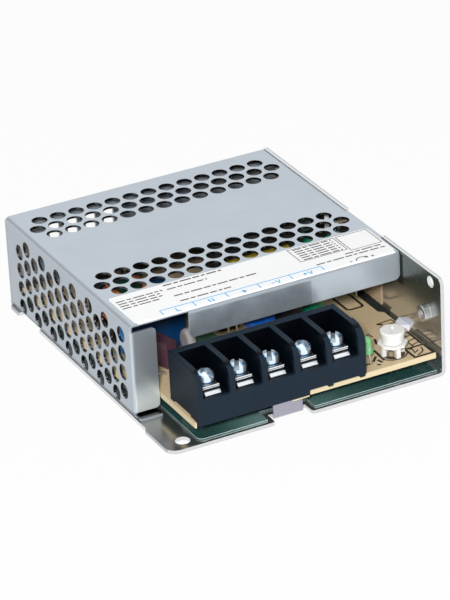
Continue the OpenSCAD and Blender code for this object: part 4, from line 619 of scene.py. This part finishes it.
def arcPoints(centre, radius, start, end, steps):
    turns = sweepAngles(start, end, steps)
    return [(centre[0] + radius * math.cos(a), centre[1] + radius * math.sin(a)) for a in turns]


def boxCorners(box):
    x0, y0, x1, y1 = box
    return [(x0, y0), (x1, y0), (x1, y1), (x0, y1)]


cornerSteps = 5


def roundedOutline(box, r):
    x0, y0, x1, y1 = box
    centres = boxCorners((x0 + r, y0 + r, x1 - r, y1 - r))
    return [p for centre, start in zip(centres, (180, 270, 0, 90))
            for p in arcPoints(centre, r, start, start + 90, cornerSteps)]


# plain strokes of the functional marks, in a box one unit high, and the space after a mark
markGap = 0.28
markStrokes = {
    "L": [[(0, 1), (0, 0), (0.55, 0)]],
    "N": [[(0, 0), (0, 1), (0.65, 0), (0.65, 1)]],
    "V": [[(0, 1), (0.33, 0), (0.66, 1)]],
    "+": [[(0, 0.5), (0.56, 0.5)], [(0.28, 0.22), (0.28, 0.78)]],
    "-": [[(0, 0.5), (0.5, 0.5)]],
    "earth": [[(0.4, 1), (0.4, 0.5)], [(0, 0.5), (0.8, 0.5)], [(0.16, 0.28), (0.64, 0.28)],
              [(0.3, 0.06), (0.5, 0.06)]],
}


def addMark(bm, marks, at, height, width, z, thick):
    x = at[0]
    for mark in marks:
        strokes = markStrokes[mark]
        for stroke in strokes:
            addStroke(bm, [(x + p[0] * height, at[1] + p[1] * height) for p in stroke], width, z, thick)
        x += (max(p[0] for stroke in strokes for p in stroke) + markGap) * height


# terminal marks in their cells, plain bars in place of writing, a blank framed field and the turning arrow;
# each bar is start, end, place and height
labelPrint = {
    "thick": 0.02, "line": 0.3, "fineLine": 0.22,
    "cells": (("L",), ("N",), ("earth",), ("-", "V"), ("+", "V")),
    "cellDepth": 2.6, "cellFirst": -30.0, "cellPitch": 9.55,
    "markHeight": 1.8, "markWidth": 0.36, "markLift": -0.1, "markShift": 0.35,
    "bars": ((-22.8, -5.5, -12.3, 0.6), (-22.8, -11.0, -14.8, 0.5), (-22.9, 1.4, -19.1, 0.55),
             (-22.8, -7.8, -22.5, 0.55), (-37.6, -24.0, -14.4, 0.5), (-37.6, -25.4, -15.8, 0.5),
             (-37.7, -24.6, -17.2, 0.5), (-37.7, -27.0, -18.6, 0.5), (17.3, 38.4, -23.5, 0.5),
             (26.8, 38.1, -22.0, 0.5)),
    "barGap": 0.5, "shortest": 0.4, "words": (2.6, 1.4, 3.3, 2.0, 1.1, 2.9),
    "field": (29.4, -20.8, 38.7, -11.8), "notes": (14.7, -19.7, 28.7, -11.8),
    "noteRows": 6, "noteInset": (1.2, 1.0), "noteHeight": 0.5,
    "arrow": {"centre": (29.3, -27.6), "radius": 1.9, "ends": (165, 25), "steps": 14, "width": 0.32,
              "barbs": ((-0.9, 0.55), (-0.1, 1.0)), "signs": {"-": (-3.8, 0.0), "+": (2.8, 0.1)},
              "signHeight": 1.6, "signWidth": 0.3},
}


def addArrow(bm, look, z, thick):
    sweep = arcPoints(look["centre"], look["radius"], *look["ends"], look["steps"])
    addStroke(bm, sweep, look["width"], z, thick)
    tip = Vector(sweep[-1])
    first, second = (tip + Vector(barb) for barb in look["barbs"])
    addStroke(bm, [first, tip, second], look["width"], z, thick)
    for sign, shift in look["signs"].items():
        at = Vector(look["centre"]) + Vector(shift)
        addMark(bm, [sign], at, look["signHeight"], look["signWidth"], z, thick)


def buildLabelPrint(look):
    low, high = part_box("label_plate")
    z, thick = high.z / mm, look["thick"]
    front = low.y / mm
    back = front + look["cellDepth"]
    edges = [look["cellFirst"] + look["cellPitch"] * i for i in range(len(look["cells"]) + 1)]
    bm = bmesh.new()
    addStroke(bm, [(edges[0], back), (edges[-1], back)], look["line"], z, thick)
    for x in edges:
        addStroke(bm, [(x, front), (x, back - look["line"] / 2)], look["line"], z, thick)
    for x, marks in zip(edges, look["cells"]):
        start = x + look["cellPitch"] / 2 - look["markShift"] * look["markHeight"] * len(marks)
        addMark(bm, marks, (start, front + look["markLift"]), look["markHeight"], look["markWidth"], z, thick)
    newPiece("label_cells", bm, "printBlue")

    bm = bmesh.new()
    x0, y0, x1, y1 = look["notes"]
    step = (y1 - y0) / look["noteRows"]
    left, right = look["noteInset"]
    rows = [(x0 + left, x1 - right, y0 + step * (k + 0.5), look["noteHeight"])
            for k in range(look["noteRows"])]
    for start, end, y, height in list(look["bars"]) + rows:
        x, k = start, 0
        while x < end - look["shortest"]:
            reach = min(x + look["words"][k % len(look["words"])], end)
            addStroke(bm, [(x, y), (reach, y)], height, z, thick)
            x, k = reach + look["barGap"], k + 1
    for box in (look["field"], look["notes"]):
        addStroke(bm, boxCorners(box), look["fineLine"], z, thick, True)
    addArrow(bm, look["arrow"], z, thick)
    newPiece("label_lines", bm, "printGrey")


buildLabelPrint(labelPrint)


# rings of points turned about an upright axis, closed by end faces or, for a hollow ring, into itself
def addRevolved(bm, profile, sides, centre, hollow=False):
    turns = [math.tau * k / sides for k in range(sides)]
    rings = [[bm.verts.new(centre + Vector((r * math.cos(a), r * math.sin(a), z)) * mm) for a in turns]
             for r, z in profile]
    joinRings(bm, rings, hollow)


# keep what lies on the inner side of each plane (point, outward normal) and close the cuts
cutNear = 1e-8


def cutCell(bm, planes):
    for point, outward in planes:
        geom = bm.verts[:] + bm.edges[:] + bm.faces[:]
        cut = bmesh.ops.bisect_plane(bm, geom=geom, dist=cutNear, plane_co=point, plane_no=outward,
                                     clear_outer=True)
        edges = [e for e in cut["geom_cut"] if isinstance(e, bmesh.types.BMEdge)]
        if edges:
            bmesh.ops.edgeloop_fill(bm, edges=edges)


# slotted heads of the terminal screws, each cut into cells round a slot and a short cross recess
screwHeads = {"rim": 1.04, "height": 2.9, "slot": 1.25, "depth": 1.6, "cross": 1.5, "shank": 1.5, "sides": 48,
              "steps": 7, "sweep": 88.0, "turns": (108, 62, 65, 108, 61)}


def headCells(look, centre, turn):
    up = Vector((0, 0, 1))
    along = Vector((math.cos(math.radians(turn)), math.sin(math.radians(turn)), 0))
    across = up.cross(along)
    floor = centre + up * (look["height"] - look["depth"]) * mm
    half, arm = look["slot"] / 2 * mm, look["cross"] * mm
    cells = [[(floor, up)]]
    for side in (across, -across):
        wall = (centre + side * half, -side)
        cells += [[(floor, -up), wall, (centre + way * half, -way)] for way in (along, -along)]
        cells.append([(floor, -up), (centre + side * arm, -side),
                      (centre + along * half, along), (centre - along * half, -along)])
    return cells


def buildScrewHeads(look):
    low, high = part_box("terminal_screws")
    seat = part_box("lock_washers")[1].z
    radius = (high.y - low.y) / 2 / mm
    firstX, lastX, axisY = low.x + radius * mm, high.x - radius * mm, (low.y + high.y) / 2
    dome = sweepAngles(0, look["sweep"], look["steps"])
    rise = look["height"] - look["rim"]
    profile = [(radius, 0.0)] + [(radius * math.cos(a), look["rim"] + rise * math.sin(a)) for a in dome]
    whole = bmesh.new()
    for index, turn in enumerate(look["turns"]):
        centre = Vector((firstX + (lastX - firstX) * index / (len(look["turns"]) - 1), axisY, seat))
        shank = [(look["shank"], (low.z - seat) / mm), (look["shank"], 0.0)]
        addRevolved(whole, shank, look["sides"] // 2, centre)
        for planes in headCells(look, centre, turn):
            cell = bmesh.new()
            addRevolved(cell, profile, look["sides"], centre)
            cutCell(cell, planes)
            part = bpy.data.meshes.new("screw_cell")
            cell.to_mesh(part)
            cell.free()
            whole.from_mesh(part)
            bpy.data.meshes.remove(part)
    heads = newPiece("terminal_heads", whole, "headZinc")
    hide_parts("terminal_screws")


buildScrewHeads(screwHeads)

# inner strips: the board's margin behind the flap, with painted light making it lighter than the board's
# face, and its green underside, and its ledge over the base's tab
# also a black strip of painted shade under the slot beside the wall, and the white strips beside the packages
# on the wall
innerStrips = {
    "board_margin": {"x": (-38.6, -32.7), "y": (-26.6, 46.5), "z": (6.2, 6.6),
                     "finish": "boardMargin", "slot": "board_tan"},
    "board_mask": {"x": (-38.6, -32.7), "y": (-26.6, 46.5), "z": (5.0, 6.2),
                   "finish": "greenCoat", "slot": "board_tan"},
    "board_ledge": {"x": (-4.65, 0.5), "y": (-48.6, -46.3), "z": (5.02, 5.78),
                    "finish": "boardLaminate", "slot": "board_tan"},
    "slot_shade_strip": {"x": (36.6, 39.1), "y": (-31.0, 46.0), "z": (1.42, 1.5),
                     "finish": "blackMoulding", "slot": "black_plastic"},
    "pad_edge": {"x": (37.1, 38.4), "y": (8.3, 8.5), "z": (11.0, 26.0),
                 "finish": "whiteNylon", "slot": "white_plastic"},
    "pad_tag": {"x": (39.4, 39.7), "y": (5.6, 7.1), "z": (18.0, 25.2),
                "finish": "whiteNylon", "slot": "white_plastic"},
}


def buildInnerStrips(strips):
    for name, look in strips.items():
        bm = bmesh.new()
        bmesh.ops.create_cube(bm, size=1.0)
        for vert in bm.verts:
            vert.co = Vector([look[axis][0 if vert.co[k] < 0 else 1] * mm for k, axis in enumerate("xyz")])
        newPiece(name, bm, look["finish"])


buildInnerStrips(innerStrips)

# dark ring under the adjuster's plate, for its resistive track and painted shade under the plate, and a dark
# disc of painted shadow on the board below it
adjusterRing = {"inner": 1.75, "outer": 3.3, "thick": 0.3, "plate": 0.6, "gap": 0.05, "pad": 0.03,
                "sides": 40}


def buildAdjusterRing(look):
    low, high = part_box("trimmer_base")
    centre = (low + high) / 2
    underPlate = (high.z - centre.z) / mm - look["plate"] - look["gap"]
    onBoard = (low.z - centre.z) / mm
    inner, outer = look["inner"], look["outer"]
    for name, top, bottom, finish in (("ring", underPlate, underPlate - look["thick"], "resistorBody"),
                                      ("pad", onBoard + look["pad"], onBoard, "shadowBrown")):
        bm = bmesh.new()
        section = [(inner, top), (outer, top), (outer, bottom), (inner, bottom)]
        addRevolved(bm, section, look["sides"], centre, True)
        newPiece("adjuster_" + name, bm, finish)


buildAdjusterRing(adjusterRing)

# the label's front rim runs over the start of the cover's bend
labelRim = {"bend": 0.9, "sweep": 44.0, "steps": 6, "corner": 0.5}


def buildLabelRim(look):
    low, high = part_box("label_plate")
    y0, z0, thick = low.y / mm, low.z / mm, (high.z - low.z) / mm
    arc = sweepAngles(0, look["sweep"], look["steps"])
    profile = []
    for reach, order in ((look["bend"], 1), (look["bend"] + thick, -1)):
        profile += [(y0 - reach * math.sin(a), z0 - look["bend"] + reach * math.cos(a)) for a in arc[::order]]
    bm = bmesh.new()
    ends = [[bm.verts.new(Vector((x, y, z)) * mm) for y, z in profile]
            for x in (low.x / mm + look["corner"], high.x / mm - look["corner"])]
    joinRings(bm, ends)
    newPiece("label_rim", bm, "labelStock")


buildLabelRim(labelRim)

# component outlines printed on the board round the adjuster, the pilot light and along the right edge
boardPrint = {
    "thick": 0.02, "fine": 0.42, "bold": 0.75,
    "bolds": (((25.5, -44.3), (25.6, -41.7), (25.9, -38.0)), ((29.2, -32.4), (28.2, -35.4)),
              ((20.1, -43.9), (21.9, -44.2)), ((22.5, -43.5), (24.6, -41.2)), ((24.0, -43.1), (24.5, -45.0)),
              ((22.6, -45.4), (23.5, -45.9)), ((38.6, -33.4), (38.6, -41.4)), ((33.9, -25.6), (35.2, -26.4))),
    "fines": (((28.2, -29.6), (29.1, -29.2), (29.3, -31.3)),
              ((33.7, -25.4), (38.4, -25.0), (38.8, -26.8), (33.8, -27.4)),
              ((35.8, -38.5), (38.3, -37.8)), ((35.8, -40.8), (38.3, -40.1)), ((35.6, -36.1), (38.3, -35.5)),
              ((35.8, -41.5), (35.8, -35.1)), ((34.0, -42.7), (34.9, -42.4), (34.4, -44.9), (36.0, -43.9)),
              ((37.3, -43.0), (37.1, -44.4), (36.2, -45.6), (34.4, -46.5))),
    "square": (33.1, -47.2, 38.7, -41.9), "adjusterArc": ((29.1, -41.5), 4.3, 215, 330, 16),
    "caseOutline": (31.3, -14.1, 36.2, -5.0), "caseCorner": 1.0,
}


def buildBoardPrint(look):
    z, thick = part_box("circuit_board")[1].z / mm, look["thick"]
    bm = bmesh.new()
    for lines, width in ((look["bolds"], look["bold"]), (look["fines"], look["fine"])):
        for points in lines:
            addStroke(bm, points, width, z, thick)
    addStroke(bm, boxCorners(look["square"]), look["bold"], z, thick, True)
    addStroke(bm, arcPoints(*look["adjusterArc"]), look["fine"], z, thick)
    addStroke(bm, roundedOutline(look["caseOutline"], look["caseCorner"]), look["bold"], z, thick, True)
    newPiece("board_marks", bm, "silkInk")


buildBoardPrint(boardPrint)
print("label print and board marks drawn")


# round wire along a line of points, closed by caps or into a ring
def addTube(bm, points, radius, sides=8, ring=False):
    pts = [Vector(p) * mm for p in points]
    count = len(pts)
    turns = [math.tau * k / sides for k in range(sides)]
    rows = []
    side = None
    for i, p in enumerate(pts):
        before = pts[i - 1] if i > 0 or ring else p
        after = pts[(i + 1) % count] if i < count - 1 or ring else p
        along = (after - before).normalized()
        if side is None:
            side = along.orthogonal()
        side = (side - along * side.dot(along)).normalized()
        up = along.cross(side)
        rows.append([bm.verts.new(p + (side * math.cos(a) + up * math.sin(a)) * radius * mm) for a in turns])
    joinRings(bm, rows, ring)


def shadeSmooth(piece):
    for face in piece.data.polygons:
        face.use_smooth = True


# each turn of the choke's wire is a ring round the core's section
chokeTurns = {"turns": 9, "sweep": 112.0, "wire": 0.74, "gap": 0.06, "corner": 1.0, "coreWidth": 2.45}


def buildChokeTurns(look):
    low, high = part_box("choke_core")
    centre = (low + high) / 2 / mm
    outer = (high.x - low.x) / 2 / mm
    windLow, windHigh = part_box("choke_windings")
    build = (windHigh.x - windLow.x) / 2 / mm - outer
    half = (high.y - low.y) / 2 / mm
    inner = outer - look["coreWidth"]
    reach = look["wire"] + look["gap"]
    section = roundedOutline((inner - reach, -half - reach, outer + reach, half + reach), look["corner"])
    bm = bmesh.new()
    for side in (0, 180):
        for i in range(look["turns"]):
            a = math.radians(side + look["sweep"] * ((i + 0.5) / look["turns"] - 0.5))
            ring = [(centre.x + r * math.cos(a), centre.y + y, centre.z + r * math.sin(a))
                    for r, y in section]
            addTube(bm, ring, min(look["wire"], build / 2), ring=True)
    piece = newPiece("choke_turns", bm, "copperWire")
    shadeSmooth(piece)
    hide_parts("choke_windings")


# the pilot light's legs run up inside the lens, and the front one leans sideways to its hole
ledLegs = {"radius": 0.27, "lean": 0.45, "inside": 2.2, "straight": 0.2, "below": 1.6}


def buildLedLegs(look):
    low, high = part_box("led_leads")
    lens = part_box("led_lens")
    boardLow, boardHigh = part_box("circuit_board")
    x = (low.x + high.x) / 2 / mm
    foot = lens[0].z / mm
    bm = bmesh.new()
    for y, lean in ((low.y / mm + look["radius"], look["lean"]), (high.y / mm - look["radius"], 0.0)):
        points = [(x, y, foot + look["inside"]), (x, y, foot - look["straight"]),
                  (x + lean, y, boardHigh.z / mm), (x + lean, y, boardLow.z / mm - look["below"])]
        addTube(bm, points, look["radius"])
    piece = newPiece("led_legs", bm, "tinnedWire")
    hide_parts("led_leads")


# bare wire link on the board in front of the fuse
jumper = {"from": (-31.0, -21.5), "to": (-27.5, -20.6), "rise": 1.3, "radius": 0.3, "below": 1.0,
          "bend": (0.35, 0.08, 0.4)}


def buildJumper(look):
    low, high = (v.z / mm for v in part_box("circuit_board"))
    (x0, y0), (x1, y1) = look["from"], look["to"]
    top, foot = high + look["rise"], low - look["below"]
    dx, dy, dz = look["bend"]
    points = [(x0, y0, foot), (x0, y0, top - dz), (x0 + dx, y0 + dy, top),
              (x1 - dx, y1 - dy, top), (x1, y1, top - dz), (x1, y1, foot)]
    bm = bmesh.new()
    addTube(bm, points, look["radius"])
    shadeSmooth(newPiece("wire_link", bm, "tinnedWire"))


buildChokeTurns(chokeTurns)
buildLedLegs(ledLegs)
buildJumper(jumper)
print("wire pieces drawn")

lights = {
    "overhead": {"at": (-0.15, 0.05, 0.95), "aim": (0, 0, 0), "size": 0.9, "power": 0.9, "inGloss": True},
    "frontKey": {"at": (-0.60, -1.04, 0.74), "aim": (0, 0, 0.01), "size": 0.16, "power": 21.0,
                 "inGloss": False},
}


def addLight(name, look):
    lamp = bpy.data.lights.new(name, "AREA")
    lamp.energy = look["power"]
    lamp.size = look["size"]
    holder = bpy.data.objects.new(name, lamp)
    holder.location = look["at"]
    holder.rotation_euler = (Vector(look["aim"]) - Vector(look["at"])).to_track_quat("-Z", "Y").to_euler()
    holder.visible_glossy = look["inGloss"]
    bpy.context.scene.collection.objects.link(holder)


for name, look in lights.items():
    addLight(name, look)


# 1 for what the camera sees straight, in gloss or through glass
def seenMask(tree):
    path = addNode(tree, "ShaderNodeLightPath").outputs
    seen = mathNode(tree, "MAXIMUM", path["Is Camera Ray"], path["Is Glossy Ray"])
    return mathNode(tree, "MAXIMUM", seen, path["Is Transmission Ray"])


studio = {"white": (1, 1, 1, 1), "skyLight": 0.32, "floorTone": (0.82, 0.82, 0.82), "floorRoughness": 0.9,
          "floorGlow": 0.92, "floorSize": 6.0, "floorDrop": 0.00005}


def buildStage(look):
    world = bpy.data.worlds.new("studioWorld")
    bpy.context.scene.world = world
    world.use_nodes = True
    tree = world.node_tree
    backdrop = tree.nodes["Background"]
    backdrop.inputs["Color"].default_value = look["white"]
    plug(tree, backdrop.inputs["Strength"], blendValue(tree, seenMask(tree), look["skyLight"], 1))

    material, tree, shader = startMaterial("paleFloor", Roughness=look["floorRoughness"])
    shader.inputs["Base Color"].default_value = rgba(look["floorTone"])
    shader.inputs["Specular IOR Level"].default_value = 0.0
    glow = addNode(tree, "ShaderNodeEmission", {"Color": look["white"], "Strength": 1.0})
    seen = mathNode(tree, "MULTIPLY", seenMask(tree), look["floorGlow"])
    mix = addNode(tree, "ShaderNodeMixShader", {0: seen, 1: shader.outputs[0], 2: glow.outputs[0]})
    plug(tree, tree.nodes["Material Output"].inputs["Surface"], mix.outputs[0])
    bm = bmesh.new()
    bmesh.ops.create_grid(bm, x_segments=1, y_segments=1, size=look["floorSize"])
    mesh = bpy.data.meshes.new("floor")
    bm.to_mesh(mesh)
    bm.free()
    mesh.materials.append(material)
    floor = bpy.data.objects.new("floor", mesh)
    floor.location.z = -look["floorDrop"]
    bpy.context.scene.collection.objects.link(floor)


buildStage(studio)

view = {"at": (-0.40201, -0.81893, 0.47899), "azimuth": -26.2197, "elevation": 27.0907, "roll": -2.9642,
        "lens": 227.5845, "sensor": 36.0}


def addCamera(look):
    camera = bpy.data.cameras.new("photoView")
    camera.lens = look["lens"]
    camera.sensor_width = look["sensor"]
    holder = bpy.data.objects.new("photoView", camera)
    az, el, roll = (math.radians(look[k]) for k in ("azimuth", "elevation", "roll"))
    back = Vector((math.sin(az) * math.cos(el), -math.cos(az) * math.cos(el), math.sin(el)))
    flat = Vector((math.cos(az), math.sin(az), 0))
    rise = back.cross(flat)
    right = flat * math.cos(roll) + rise * math.sin(roll)
    up = rise * math.cos(roll) - flat * math.sin(roll)
    holder.matrix_world = Matrix.Translation(look["at"]) @ Matrix((right, up, back)).transposed().to_4x4()
    bpy.context.scene.collection.objects.link(holder)
    bpy.context.scene.camera = holder


addCamera(view)
bpy.context.scene.view_settings.view_transform = "Standard"
print("stage, light and camera set")
